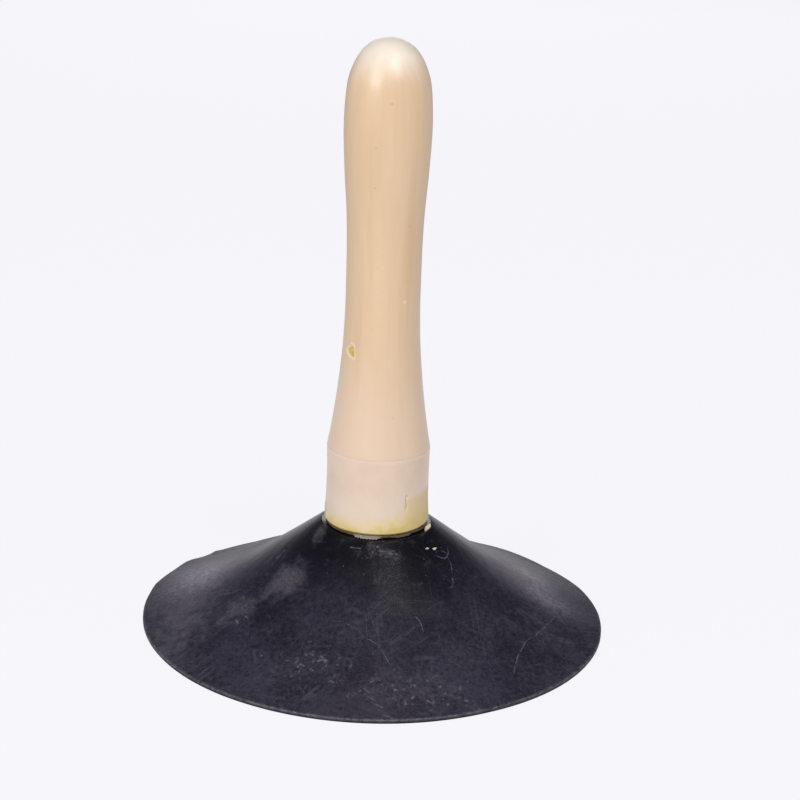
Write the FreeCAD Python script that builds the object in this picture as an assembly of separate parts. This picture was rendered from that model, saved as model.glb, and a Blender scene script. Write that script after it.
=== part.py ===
"""A small sink plunger: a turned wooden handle in a thin collar, screwed down on a wide rubber cup.

Millimetres, +Z up. The origin is the centre of the cup's rim, on the surface that the rim rests on.
Every sub-part is one solid of revolution about Z, cut where a fastener passes, in a file of its own.
An outline is a list of (radius, height) points in the XZ plane.
"""
import math
import os

import FreeCAD
import Part

# Rubber cup
RIM_RADIUS = 80.0
RIM_EDGE = 1.3  # height of the rim's outer edge
RIM_FLAT = 3.5  # width of the flat ring that seals against the sink
CROWN_HEIGHT = 36.5  # top of the crown, round the handle's foot
CROWN_RADIUS = 18.5
CROWN_UNDERSIDE = 30.5
SEAT_RADIUS = 16.5  # raised disc that the handle stands on
SEAT_HEIGHT = 38.7
SPIGOT_RADIUS = 10.0  # rubber plug that centres the cup in the handle
SPIGOT_LENGTH = 12.0

# Handle
SHOULDER_HEIGHT = 64.5  # where the handle steps in to take the collar
SHOULDER_RADIUS = 17.6
TENON_RADIUS = 16.6
WAIST_RADIUS = 12.55
WAIST_BOTTOM = 112.0
WAIST_TOP = 136.0
BULB_RADIUS = 14.45  # the thickest part of the grip
BULB_HEIGHT = 174.0
TOTAL_HEIGHT = 202.8
SPIGOT_BORE_RADIUS = 10.3
SPIGOT_BORE_DEPTH = 15.0
PILOT_RADIUS = 2.1
PILOT_TOP = 80.0

# Collar
COLLAR_INNER_RADIUS = 16.7
COLLAR_TOP_RADIUS = 17.5
COLLAR_FOOT_RADIUS = 18.05
COLLAR_TOP_CHAMFER = 0.4
COLLAR_FOOT_ROUND = 0.9

# Contact cement squeezed out between the collar and the crown
BEAD_INNER_RADIUS = 16.7
BEAD_OUTER_RADIUS = 18.3
BEAD_TOP = 38.6
BEAD_GAP = 0.1  # clear of the crown under it

# Clamp washer and screw
WASHER_RADIUS = 16.0
WASHER_THICKNESS = 1.5
WASHER_EDGE = 0.3  # chamfer
CLEARANCE_RADIUS = 2.8  # screw hole in the rubber and in the washer
SCREW_LENGTH = 48.0  # under the head
SHANK_RADIUS = 2.5
CORE_RADIUS = 1.8
HEAD_RADIUS = 5.0
HEAD_HEIGHT = 3.2
HEAD_EDGE = 1.4  # height of the head's straight side
TIP_LENGTH = 5.0
THREAD_PITCH = 1.8
RECESS_LENGTH = 5.4
RECESS_WIDTH = 1.1
RECESS_DEPTH = 1.9

UP = FreeCAD.Vector(0, 0, 1)
LEVEL = FreeCAD.Vector(1, 0, 0)


def at(radius, height):
    return FreeCAD.Vector(radius, 0, height)


def straight(points):
    """Edges from each (radius, height) point to the next."""
    places = [at(*p) for p in points]
    return [Part.makeLine(a, b) for a, b in zip(places, places[1:])]


def arc(start, middle, end):
    return Part.Arc(at(*start), at(*middle), at(*end)).toShape()


def quarter_round(start, corner, end):
    """A quarter circle from start to end that cuts off the corner between them."""
    centre = (start[0] + end[0] - corner[0], start[1] + end[1] - corner[1])
    reach = math.dist(start, centre)
    towards = (corner[0] - centre[0], corner[1] - centre[1])
    scale = reach / math.hypot(*towards)
    middle = (centre[0] + towards[0] * scale, centre[1] + towards[1] * scale)
    return arc(start, middle, end)


def smooth(points, first_direction=None, last_direction=None):
    """One smooth curve through the points, with a given direction at one end or at both."""
    curve = Part.BSplineCurve()
    places = [at(*p) for p in points]
    if first_direction and last_direction:
        curve.interpolate(Points=places, InitialTangent=first_direction, FinalTangent=last_direction)
    else:
        curve.interpolate(Points=places)
    return curve.toShape()


def turned(edges):
    """The solid that the closed outline makes when it turns about the Z axis."""
    face = Part.Face(Part.Wire(Part.__sortEdges__(edges)))
    return face.revolve(FreeCAD.Vector(0, 0, 0), UP, 360)


def cylinder(radius, bottom, top):
    return Part.makeCylinder(radius, top - bottom, FreeCAD.Vector(0, 0, bottom))


def rubber_cup():
    rim_top = (RIM_RADIUS, RIM_EDGE)
    rim_bottom = (RIM_RADIUS, 0)
    rim_inside = (RIM_RADIUS - RIM_FLAT, 0)
    spigot_top = SEAT_HEIGHT + SPIGOT_LENGTH
    outside = [
        (CROWN_RADIUS, CROWN_HEIGHT),
        (24, 32.8),
        (34, 25.1),
        (46, 16.5),
        (60, 8.9),
        (72, 3.9),
        rim_top,
    ]
    inside = [
        rim_inside,
        (72, 1.5),
        (60, 5.7),
        (46, 12.5),
        (34, 20.5),
        (25, 27.2),
        (WASHER_RADIUS + 1, CROWN_UNDERSIDE),
    ]
    flank_end = FreeCAD.Vector(8, 0, -2.6)
    inside_start = FreeCAD.Vector(-8, 0, 2.4)
    edges = straight(
        [
            (0, spigot_top),
            (SPIGOT_RADIUS - 1, spigot_top),
            (SPIGOT_RADIUS, spigot_top - 1),
            (SPIGOT_RADIUS, SEAT_HEIGHT),
            (SEAT_RADIUS, SEAT_HEIGHT),
            (SEAT_RADIUS, CROWN_HEIGHT),
            (CROWN_RADIUS, CROWN_HEIGHT),
        ]
    )
    edges.append(smooth(outside, LEVEL * 4, flank_end))
    edges += straight([rim_top, rim_bottom, rim_inside])
    edges.append(smooth(inside, inside_start, LEVEL * -6))
    edges += straight([inside[-1], (0, CROWN_UNDERSIDE), (0, spigot_top)])
    return turned(edges).cut(cylinder(CLEARANCE_RADIUS, 0, TOTAL_HEIGHT))


def handle():
    flare = [
        (SHOULDER_RADIUS, SHOULDER_HEIGHT),
        (16.3, 72),
        (14.65, 84),
        (13.2, 98.5),
        (WAIST_RADIUS, WAIST_BOTTOM),
    ]
    grip = [
        (WAIST_RADIUS, WAIST_TOP),
        (12.95, 147),
        (13.85, 159.5),
        (BULB_RADIUS, BULB_HEIGHT),
        (13.85, 186),
        (12.4, 192.5),
        (9.3, 198.4),
        (5.0, 201.8),
        (0, TOTAL_HEIGHT),
    ]
    edges = straight(
        [
            (0, SEAT_HEIGHT),
            (TENON_RADIUS - 0.5, SEAT_HEIGHT),
            (TENON_RADIUS, SEAT_HEIGHT + 0.5),
            (TENON_RADIUS, SHOULDER_HEIGHT),
            (SHOULDER_RADIUS, SHOULDER_HEIGHT),
        ]
    )
    edges.append(smooth(flare, FreeCAD.Vector(-2, 0, 9), UP * 9))
    edges += straight([flare[-1], grip[0]])
    edges.append(smooth(grip, UP * 10, LEVEL * -5))
    edges += straight([(0, TOTAL_HEIGHT), (0, SEAT_HEIGHT)])
    bore_top = SEAT_HEIGHT + SPIGOT_BORE_DEPTH
    solid = turned(edges)
    solid = solid.cut(cylinder(SPIGOT_BORE_RADIUS, SEAT_HEIGHT, bore_top))
    return solid.cut(cylinder(PILOT_RADIUS, bore_top, PILOT_TOP))


def collar():
    top = SHOULDER_HEIGHT
    foot = SEAT_HEIGHT
    side_top = (COLLAR_TOP_RADIUS, top - COLLAR_TOP_CHAMFER)
    side_foot = (COLLAR_FOOT_RADIUS, foot + COLLAR_FOOT_ROUND)
    foot_edge = (COLLAR_FOOT_RADIUS - COLLAR_FOOT_ROUND, foot)
    # the side is a little hollow above its foot
    side_middle = (COLLAR_TOP_RADIUS + 0.05, (top + foot) / 2 + 2)
    edges = [
        *straight([(COLLAR_INNER_RADIUS, top), (COLLAR_TOP_RADIUS - COLLAR_TOP_CHAMFER, top), side_top]),
        smooth([side_top, side_middle, side_foot]),
        quarter_round(side_foot, (COLLAR_FOOT_RADIUS, foot), foot_edge),
        *straight([foot_edge, (COLLAR_INNER_RADIUS, foot), (COLLAR_INNER_RADIUS, top)]),
    ]
    return turned(edges)


def cement_bead():
    bottom = CROWN_HEIGHT + BEAD_GAP
    inner_bottom = (BEAD_INNER_RADIUS, bottom)
    outer_bottom = (BEAD_OUTER_RADIUS, bottom)
    inner_top = (BEAD_INNER_RADIUS, BEAD_TOP)
    bulge = (BEAD_OUTER_RADIUS - 0.35, BEAD_TOP - 0.65)
    return turned([*straight([inner_top, inner_bottom, outer_bottom]), arc(outer_bottom, bulge, inner_top)])


def clamp_washer():
    top = CROWN_UNDERSIDE
    bottom = top - WASHER_THICKNESS
    edges = straight(
        [
            (CLEARANCE_RADIUS, bottom),
            (WASHER_RADIUS - WASHER_EDGE, bottom),
            (WASHER_RADIUS, bottom + WASHER_EDGE),
            (WASHER_RADIUS, top),
            (CLEARANCE_RADIUS, top),
            (CLEARANCE_RADIUS, bottom),
        ]
    )
    return turned(edges)


def thread_outline(bottom, top):
    """Points down one side of the thread, from top to bottom: a sharp crest in each pitch."""
    points = []
    crests = int((top - bottom) / THREAD_PITCH)
    for n in range(crests):
        root = top - n * THREAD_PITCH
        points += [(CORE_RADIUS, root), (SHANK_RADIUS, root - THREAD_PITCH / 2)]
    return points + [(CORE_RADIUS, top - crests * THREAD_PITCH)]


def screw():
    head_top = CROWN_UNDERSIDE - WASHER_THICKNESS
    head_bottom = head_top - HEAD_HEIGHT
    tip = head_top + SCREW_LENGTH
    thread_bottom = SEAT_HEIGHT + SPIGOT_BORE_DEPTH + 0.5
    thread = thread_outline(thread_bottom, tip - TIP_LENGTH)
    head_side = (HEAD_RADIUS, head_top - HEAD_EDGE)
    dome_middle = (HEAD_RADIUS * 0.66, head_bottom + 0.45)
    edges = straight([(0, tip), *thread, (SHANK_RADIUS, thread[-1][1] - 1), (SHANK_RADIUS, head_top)])
    edges += straight([(SHANK_RADIUS, head_top), (HEAD_RADIUS, head_top), head_side])
    edges.append(arc(head_side, dome_middle, (0, head_bottom)))
    edges += straight([(0, head_bottom), (0, tip)])
    solid = turned(edges)
    for along, across in ((RECESS_LENGTH, RECESS_WIDTH), (RECESS_WIDTH, RECESS_LENGTH)):
        corner = FreeCAD.Vector(-along / 2, -across / 2, head_bottom - 1)
        solid = solid.cut(Part.makeBox(along, across, RECESS_DEPTH + 1, corner))
    return solid


def main():
    os.makedirs("parts", exist_ok=True)
    for make in (rubber_cup, handle, collar, cement_bead, clamp_washer, screw):
        shape = make()
        solids = shape.Solids
        if not shape.isValid() or len(solids) != 1:
            raise RuntimeError(f"{make.__name__} isn't one valid solid")
        box = shape.BoundBox
        print(f"{make.__name__}: {shape.Volume / 1000:.2f} cm3, z {box.ZMin:.1f} to {box.ZMax:.1f}")
        solids[0].exportStep(f"parts/{make.__name__}.step")


main()
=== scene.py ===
# %% [markdown]
# # A sink plunger, turned and moulded
#
# The real thing is a wooden handle, turned on a lathe and dipped in cream lacquer, a thin pale
# collar round its foot, and a wide cup of moulded black rubber. One screw and one washer,
# inside the cup, hold them together, and some contact cement has squeezed out under the collar.
#
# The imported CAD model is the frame: every size below comes from it, so each piece made here
# lies where the solid that it stands for lies.

# %% Load the frame
import math

import bmesh
import bpy
import numpy as np
from mathutils import Matrix, Vector


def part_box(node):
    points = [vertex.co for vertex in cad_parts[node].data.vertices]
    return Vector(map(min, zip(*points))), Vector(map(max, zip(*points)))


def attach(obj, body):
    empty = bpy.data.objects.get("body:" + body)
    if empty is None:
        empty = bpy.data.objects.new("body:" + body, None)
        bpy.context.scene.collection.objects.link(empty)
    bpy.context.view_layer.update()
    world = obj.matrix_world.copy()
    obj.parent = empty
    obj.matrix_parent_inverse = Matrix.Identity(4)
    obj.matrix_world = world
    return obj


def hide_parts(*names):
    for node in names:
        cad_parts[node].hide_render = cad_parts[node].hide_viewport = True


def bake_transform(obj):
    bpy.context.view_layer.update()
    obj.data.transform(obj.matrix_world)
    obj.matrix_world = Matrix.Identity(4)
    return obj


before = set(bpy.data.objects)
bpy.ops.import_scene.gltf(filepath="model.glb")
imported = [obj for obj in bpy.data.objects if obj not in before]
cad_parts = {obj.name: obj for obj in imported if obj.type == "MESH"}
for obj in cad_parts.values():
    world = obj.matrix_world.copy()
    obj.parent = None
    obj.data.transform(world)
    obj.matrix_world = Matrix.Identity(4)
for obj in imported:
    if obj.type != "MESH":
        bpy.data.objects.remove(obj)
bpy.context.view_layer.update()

MM = 0.001

# %% [markdown]
# ## Sizes from the frame
#
# A turned piece is known by its radius and its two ends, so a node's box says all that is
# needed. The heights are kept in millimetres, because the outlines further down are in them too.


# %% Read radius and ends of each turned node
def turned_size(node):
    """(radius, bottom, top) of a node turned about Z, in millimetres."""
    low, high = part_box(node)
    return (high.x - low.x) / 2 / MM, low.z / MM, high.z / MM


RIM, _, SPIGOT_TOP = turned_size("rubber_cup")
_, FOOT, TOP = turned_size("handle")
_, _, SHOULDER = turned_size("collar")
WASHER, WASHER_BOTTOM, CROWN_UNDERSIDE = turned_size("clamp_washer")
HEAD, HEAD_BOTTOM, SCREW_TIP = turned_size("screw")
SEAT_HEIGHT = 2.2  # how far the raised seat that the foot stands on comes up from the crown
CROWN = FOOT - SEAT_HEIGHT
print(f"rim {RIM:.1f}, foot {FOOT:.1f}, shoulder {SHOULDER:.1f}, top {TOP:.1f}")

# %% [markdown]
# ## Helpers for node trees
#
# Materials, shader groups and Geometry Nodes trees are all made of nodes. `put` adds one node,
# sets its options and fills its inputs, each with a value or with another node's output.
# With it, a tree reads from top to bottom like a list of steps.


# %% Add a node, do a sum, make a group
def put(tree, kind, inputs=None, **settings):
    node = tree.nodes.new(kind)
    for key, value in settings.items():
        setattr(node, key, value)
    for key, value in (inputs or {}).items():
        if isinstance(value, bpy.types.NodeSocket):
            tree.links.new(value, node.inputs[key])
        else:
            node.inputs[key].default_value = value
    return node


def calc(tree, operation, *values, clamp=False):
    node = put(tree, "ShaderNodeMath", dict(enumerate(values)), operation=operation)
    node.use_clamp = clamp
    return node.outputs[0]


def times(tree, *values):
    """The product of all the values."""
    product = values[0]
    for value in values[1:]:
        product = calc(tree, "MULTIPLY", product, value)
    return product


def vector_calc(tree, operation, *values, scale=None):
    """As calc, for vectors. LENGTH and DOT_PRODUCT give a number, the others give a vector."""
    inputs = dict(enumerate(values))
    if scale is not None:
        inputs["Scale"] = scale
    node = put(tree, "ShaderNodeVectorMath", inputs, operation=operation)
    return node.outputs["Value" if operation in ("LENGTH", "DOT_PRODUCT") else "Vector"]


def combine(tree, x, y, z=0.0):
    return put(tree, "ShaderNodeCombineXYZ", {0: x, 1: y, 2: z}).outputs[0]


def separate(tree, vector):
    return put(tree, "ShaderNodeSeparateXYZ", {0: vector}).outputs


def ramp(tree, value, low, high, at_low=0.0, at_high=1.0):
    """Value from low to high, smoothly turned into at_low to at_high."""
    inputs = {0: value, 1: low, 2: high, 3: at_low, 4: at_high}
    node = put(tree, "ShaderNodeMapRange", inputs, interpolation_type="SMOOTHSTEP")
    return node.outputs[0]


def mix(tree, factor, first, second):
    """First where factor is 0, second where it is 1. Each is a colour: red, green, blue."""
    first, second = ((*c, 1) if isinstance(c, tuple) else c for c in (first, second))
    return put(tree, "ShaderNodeMix", {0: factor, 6: first, 7: second}, data_type="RGBA").outputs[2]


def swing(tree, field, reach):
    """A field of 0 to 1 made into a push, half the reach each way."""
    return times(tree, calc(tree, "SUBTRACT", field, 0.5), reach)


def layer(tree, under, mask, strength, tint):
    """One thin layer of a tint over a colour: the mask says where, the strength how well it covers."""
    return mix(tree, times(tree, mask, strength), under, tint)


def stored(tree, name):
    """The value that each point of the piece keeps under a name."""
    return put(tree, "ShaderNodeAttribute", attribute_name=name).outputs["Fac"]


def noise(tree, place, scale, detail=3.0, roughness=0.5, seed=0.0):
    inputs = {"Vector": place, "W": seed, "Scale": scale, "Detail": detail, "Roughness": roughness}
    return put(tree, "ShaderNodeTexNoise", inputs, noise_dimensions="4D").outputs[0]


def new_group(name, kind, takes, gives):
    """A node group with named inputs and outputs: {name: (socket type, default)} and {name: type}."""
    tree = bpy.data.node_groups.new(name, kind)
    for label, (socket, default) in takes.items():
        made = tree.interface.new_socket(label, in_out="INPUT", socket_type=socket)
        if default is not None:
            made.default_value = default
    for label, socket in gives.items():
        tree.interface.new_socket(label, in_out="OUTPUT", socket_type=socket)
    source = tree.nodes.new("NodeGroupInput")
    sink = tree.nodes.new("NodeGroupOutput")
    return tree, source.outputs, sink.inputs


FLOAT, VECTOR = "NodeSocketFloat", "NodeSocketVector"
print("node helpers ready")

# %% [markdown]
# ## Studio: floor, light and camera
#
# The plunger stands in a light tent: a pale table that is as bright as the light on it, so it
# takes only a trace of a shadow, and pale walls all round. The ceiling is dark. That matters
# more than the lamps do, because black rubber shows what it mirrors: the flanks mirror the
# walls and turn grey, the front mirrors the ceiling and stays black. The walls are a little
# darker on the right, which gives the handle its shaded side, and much dimmer at the back, but
# for one bright strip straight behind, which lights the handle's edges. Close round the cup the
# table sends little light back, because the cup shades it.
#
# Two lamps light the handle from the front and one small lamp lights it from behind. The camera
# itself sees plain white in every direction, so the piece can be looked at from any side.

# %% Floor
TENT_WHITE = (0.93, 0.925, 0.965)
TABLE_RADIUS = 6.0  # metres, far wider than the camera sees
TABLE_GAP = 0.05  # millimetres between the table and the rim, so that the two never share a plane
TABLE_GLOW = 0.94  # how bright the camera sees the table
TABLE_PAINT = 0.08  # how much of a shadow it takes
TABLE_BOUNCE = 0.86  # how much light the table sends up to the piece
TABLE_SHADED = 0.25  # the same close round the cup, which shades it
TABLE_FAR = 0.6  # the share of it that comes from far off
SHADE_ENDS = (0.07, 0.13)  # metres from the middle, where the shaded part turns into the open one
FAR_STARTS = (0.2, 0.6)


def make_floor():
    mesh = bpy.data.meshes.new("floor")
    shape = bmesh.new()
    bmesh.ops.create_circle(shape, cap_ends=True, segments=64, radius=TABLE_RADIUS)
    shape.to_mesh(mesh)
    shape.free()
    mesh.transform(Matrix.Translation((0, 0, -TABLE_GAP * MM)))
    floor = bpy.data.objects.new("floor", mesh)
    bpy.context.scene.collection.objects.link(floor)
    material = bpy.data.materials.new("pale table")
    material.use_nodes = True
    tree = material.node_tree
    tree.nodes.clear()
    seen = put(tree, "ShaderNodeLightPath").outputs["Is Camera Ray"]
    place = put(tree, "ShaderNodeTexCoord").outputs["Object"]
    away = vector_calc(tree, "LENGTH", place)
    bounce = ramp(tree, away, *SHADE_ENDS, TABLE_SHADED, TABLE_BOUNCE)
    bounce = times(tree, bounce, ramp(tree, away, *FAR_STARTS, 1.0, TABLE_FAR))
    strength = ramp(tree, seen, 0.0, 1.0, bounce, TABLE_GLOW)
    glow = put(tree, "ShaderNodeEmission", {"Color": (*TENT_WHITE, 1), "Strength": strength})
    paint_white = [TABLE_PAINT * c for c in TENT_WHITE]
    paint = put(tree, "ShaderNodeBsdfDiffuse", {"Color": (*paint_white, 1)})
    lit = put(tree, "ShaderNodeAddShader", {0: glow.outputs[0], 1: paint.outputs[0]})
    see_through = put(tree, "ShaderNodeBsdfTransparent")
    side = put(tree, "ShaderNodeNewGeometry").outputs["Backfacing"]
    both = put(tree, "ShaderNodeMixShader", {0: side, 1: lit.outputs[0], 2: see_through.outputs[0]})
    put(tree, "ShaderNodeOutputMaterial", {"Surface": both.outputs[0]})
    mesh.materials.append(material)


make_floor()
print("table", 2 * TABLE_RADIUS, "m across")

# %% Tent
SHEEN_WHITE = (0.93, 0.89, 0.98)
CEILING = (0.06, 0.055, 0.085)
WALL_BRIGHT = 1.18
WALL_DARK = 0.96
SHADOW_SIDE = (0.90, -0.43, 0.0)  # the wall is darker this way, to the right and a little forward
WALL_TOP = 0.24  # heights between which the wall turns into the dark ceiling
CEILING_FROM = 0.52
BACK_LOWER = 0.30  # how much lower the ceiling comes at the back, and higher in front
BACK_SHADE = 0.34  # the share of its brightness that the wall keeps at the back
BACK_FROM = (0.30, 0.75)
BACKDROP = 0.35  # a brighter strip straight behind
BACKDROP_EDGE = (0.92, 0.99)


def make_tent():
    world = bpy.data.worlds.new("light tent")
    bpy.context.scene.world = world
    world.use_nodes = True
    tree = world.node_tree
    tree.nodes.clear()
    way = put(tree, "ShaderNodeTexCoord").outputs["Generated"]
    _, back, height = separate(tree, way)
    height = calc(tree, "ADD", height, times(tree, back, BACK_LOWER))
    to_side = vector_calc(tree, "DOT_PRODUCT", way, SHADOW_SIDE)
    side = ramp(tree, to_side, 0.2, 0.95, WALL_BRIGHT, WALL_DARK)
    side = times(tree, side, ramp(tree, back, *BACK_FROM, 1.0, BACK_SHADE))
    side = calc(tree, "ADD", side, ramp(tree, back, *BACKDROP_EDGE, 0.0, BACKDROP))
    wall = mix(tree, side, (0, 0, 0), SHEEN_WHITE)
    colour = mix(tree, ramp(tree, height, WALL_TOP, CEILING_FROM), wall, CEILING)
    seen = put(tree, "ShaderNodeLightPath").outputs["Is Camera Ray"]
    colour = mix(tree, seen, colour, TENT_WHITE)
    background = put(tree, "ShaderNodeBackground", {"Color": colour, "Strength": 1.0})
    put(tree, "ShaderNodeOutputWorld", {"Surface": background.outputs[0]})


make_tent()
print("tent:", bpy.context.scene.world.name)

# %% Lamps
LAMPS = [
    # name, azimuth from the camera, elevation, metres away, metres wide and high, watts
    ("key", -40, 24, 1.6, (0.7, 0.7), 8.8),
    ("top", 25, 54, 1.5, (0.6, 0.6), 9.5),
    ("back", 180, 15, 1.8, (0.8, 0.5), 3.5),
]
LAMP_AIM = Vector((0, 0, 0.1))  # all lamps face this point, half way up the piece


def make_lamp(name, azimuth, elevation, distance, size, power):
    azimuth, elevation = math.radians(azimuth), math.radians(elevation)
    level = math.cos(elevation)
    way = Vector((math.sin(azimuth) * level, -math.cos(azimuth) * level, math.sin(elevation)))
    data = bpy.data.lights.new(name, "AREA")
    data.shape = "RECTANGLE"
    data.size, data.size_y = size
    data.energy = power
    lamp = bpy.data.objects.new(name, data)
    bpy.context.scene.collection.objects.link(lamp)
    lamp.location = way * distance + LAMP_AIM
    lamp.rotation_euler = way.to_track_quat("Z", "Y").to_euler()


for lamp in LAMPS:
    make_lamp(*lamp)
bpy.context.scene.view_settings.view_transform = "Standard"

# %% Camera
CAMERA_BACK = 0.6422
CAMERA_SIDE = 0.0068
CAMERA_HEIGHT = 0.2998
CAMERA_PITCH = 18.85  # degrees below the horizon
CAMERA_ROLL = 1.93  # degrees, which leans the handle to the right
CAMERA_LENS = 90.0

camera = bpy.data.objects.new("camera", bpy.data.cameras.new("camera"))
bpy.context.scene.collection.objects.link(camera)
camera.data.lens = CAMERA_LENS
camera.location = (CAMERA_SIDE, -CAMERA_BACK, CAMERA_HEIGHT)
pitch = Matrix.Rotation(math.radians(90 - CAMERA_PITCH), 3, "X")
roll = Matrix.Rotation(math.radians(CAMERA_ROLL), 3, "Z")
camera.rotation_euler = (pitch @ roll).to_euler()
bpy.context.scene.camera = camera
print("camera at", [round(v, 3) for v in camera.location])

# %% [markdown]
# ## Shared effects
#
# Age shows in the same few ways on every material, so each way is one shader group, used with
# its own values: hairline scratches, a film of dust, single strokes where something scraped,
# soft patches, and streaks that run along the grain.


# %% Hairline scratches
def scratches_group():
    """Long thin lines, all about one direction, that come and go."""
    takes = {
        "Place": (VECTOR, None),
        "Turn": (FLOAT, 0.0),
        "Fineness": (FLOAT, 400.0),
        "Stretch": (FLOAT, 0.05),
        "Width": (FLOAT, 0.02),
        "Share": (FLOAT, 0.4),
        "Seed": (FLOAT, 0.0),
    }
    tree, ins, outs = new_group("hairline scratches", "ShaderNodeTree", takes, {"Mask": FLOAT})
    inputs = {"Vector": ins["Place"], "Angle": ins["Turn"]}
    turned = put(tree, "ShaderNodeVectorRotate", inputs, rotation_type="Z_AXIS")
    flat = separate(tree, turned.outputs[0])
    along = times(tree, flat[0], ins["Stretch"])
    rise = times(tree, flat[2], ins["Stretch"])
    place = combine(tree, along, flat[1], rise)
    field = noise(tree, place, ins["Fineness"], 1.0, 0.5, ins["Seed"])
    off_line = calc(tree, "ABSOLUTE", calc(tree, "SUBTRACT", field, 0.5))
    line = calc(tree, "SUBTRACT", 1.0, calc(tree, "DIVIDE", off_line, ins["Width"]), clamp=True)
    cover = noise(tree, ins["Place"], 90.0, 3.0, 0.6, calc(tree, "ADD", ins["Seed"], 5.0))
    edge = calc(tree, "SUBTRACT", 1.0, ins["Share"])
    here = ramp(tree, cover, edge, calc(tree, "ADD", edge, 0.12))
    tree.links.new(times(tree, line, here), outs["Mask"])
    return tree


SCRATCHES = scratches_group()
print("group:", SCRATCHES.name)


# %% A film of dust
def dust_group():
    """Fine specks gathered in clouds."""
    takes = {
        "Place": (VECTOR, None),
        "Cloud size": (FLOAT, 40.0),
        "Cover": (FLOAT, 0.45),
        "Speck size": (FLOAT, 1500.0),
        "Seed": (FLOAT, 0.0),
    }
    tree, ins, outs = new_group("film of dust", "ShaderNodeTree", takes, {"Mask": FLOAT})
    cloud = noise(tree, ins["Place"], ins["Cloud size"], 5.0, 0.62, ins["Seed"])
    edge = calc(tree, "SUBTRACT", 1.0, ins["Cover"])
    gathered = ramp(tree, cloud, edge, calc(tree, "ADD", edge, 0.28))
    speck = noise(tree, ins["Place"], ins["Speck size"], 2.0, 0.7, calc(tree, "ADD", ins["Seed"], 9.0))
    grain = ramp(tree, speck, 0.42, 0.66, 0.35, 1.0)
    tree.links.new(times(tree, gathered, grain), outs["Mask"])
    return tree


DUST = dust_group()
print("group:", DUST.name)


# %% A single stroke
def stroke_group():
    """One scrape, seen from above: a line from Start to End that bows sideways, thin at its ends."""
    takes = {
        "Place": (VECTOR, None),
        "Start": (VECTOR, (0, 0, 0)),
        "End": (VECTOR, (0.01, 0, 0)),
        "Bow": (FLOAT, 0.0),
        "Width": (FLOAT, 0.0002),
    }
    tree, ins, outs = new_group("stroke", "ShaderNodeTree", takes, {"Mask": FLOAT})
    level = (1, 1, 0)
    run = vector_calc(tree, "SUBTRACT", ins["End"], ins["Start"])
    reach = vector_calc(tree, "SUBTRACT", ins["Place"], ins["Start"])
    reach = vector_calc(tree, "MULTIPLY", reach, level)
    length = vector_calc(tree, "LENGTH", run)
    ahead = vector_calc(tree, "NORMALIZE", run)
    along = vector_calc(tree, "DOT_PRODUCT", reach, ahead)
    share = calc(tree, "DIVIDE", along, length)
    across = vector_calc(tree, "CROSS_PRODUCT", ahead, reach)
    sideways = separate(tree, across)[2]
    arch = times(tree, share, calc(tree, "SUBTRACT", 1.0, share), 4.0)
    off_line = calc(tree, "SUBTRACT", sideways, times(tree, arch, ins["Bow"]))
    off_line = calc(tree, "ABSOLUTE", off_line)
    line = calc(tree, "SUBTRACT", 1.0, calc(tree, "DIVIDE", off_line, ins["Width"]), clamp=True)
    ends = ramp(tree, arch, 0.0, 0.35)
    tree.links.new(times(tree, line, ends), outs["Mask"])
    return tree


STROKE = stroke_group()
print("group:", STROKE.name)


# %% A soft patch
def patch_group():
    """A round patch with a torn, cloudy edge: an even film at Fleck 0, scattered flecks at 1."""
    takes = {
        "Place": (VECTOR, None),
        "Centre": (VECTOR, (0, 0, 0)),
        "Size": (VECTOR, (0.01, 0.01, 0.01)),
        "Tear": (FLOAT, 0.8),
        "Grain": (FLOAT, 300.0),
        "Fleck": (FLOAT, 0.0),
        "Seed": (FLOAT, 0.0),
    }
    tree, ins, outs = new_group("soft patch", "ShaderNodeTree", takes, {"Mask": FLOAT})
    away = vector_calc(tree, "SUBTRACT", ins["Place"], ins["Centre"])
    away = vector_calc(tree, "DIVIDE", away, ins["Size"])
    far = vector_calc(tree, "LENGTH", away)
    rough = noise(tree, ins["Place"], ins["Grain"], 5.0, 0.65, ins["Seed"])
    tear = times(tree, ins["Tear"], 2.0)
    torn = times(tree, calc(tree, "SUBTRACT", rough, 0.5), tear)
    area = ramp(tree, calc(tree, "ADD", far, torn), 1.15, 0.25)
    fleck_seed = calc(tree, "ADD", ins["Seed"], 3.0)
    sharp = ramp(tree, noise(tree, ins["Place"], 620.0, 2.0, 0.6, fleck_seed), 0.60, 0.70)
    grain = ramp(tree, noise(tree, ins["Place"], 1300.0, 3.0, 0.7, ins["Seed"]), 0.3, 0.7, 0.35, 1.0)
    even = times(tree, grain, calc(tree, "SUBTRACT", 1.0, ins["Fleck"]))
    flecks = calc(tree, "ADD", times(tree, sharp, ins["Fleck"]), even)
    tree.links.new(times(tree, area, flecks), outs["Mask"])
    return tree


PATCH = patch_group()
print("group:", PATCH.name)


# %% Streaks along the grain
def streaks_group():
    """Faint bands along Z, as wood shows through a lacquer."""
    takes = {
        "Place": (VECTOR, None),
        "Fineness": (FLOAT, 160.0),
        "Stretch": (FLOAT, 0.06),
        "Seed": (FLOAT, 0.0),
    }
    tree, ins, outs = new_group("grain streaks", "ShaderNodeTree", takes, {"Mask": FLOAT})
    flat = separate(tree, ins["Place"])
    rise = times(tree, flat[2], ins["Stretch"])
    place = combine(tree, flat[0], flat[1], rise)
    tree.links.new(noise(tree, place, ins["Fineness"], 4.0, 0.6, ins["Seed"]), outs["Mask"])
    return tree


STREAKS = streaks_group()
print("group:", STREAKS.name)


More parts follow.
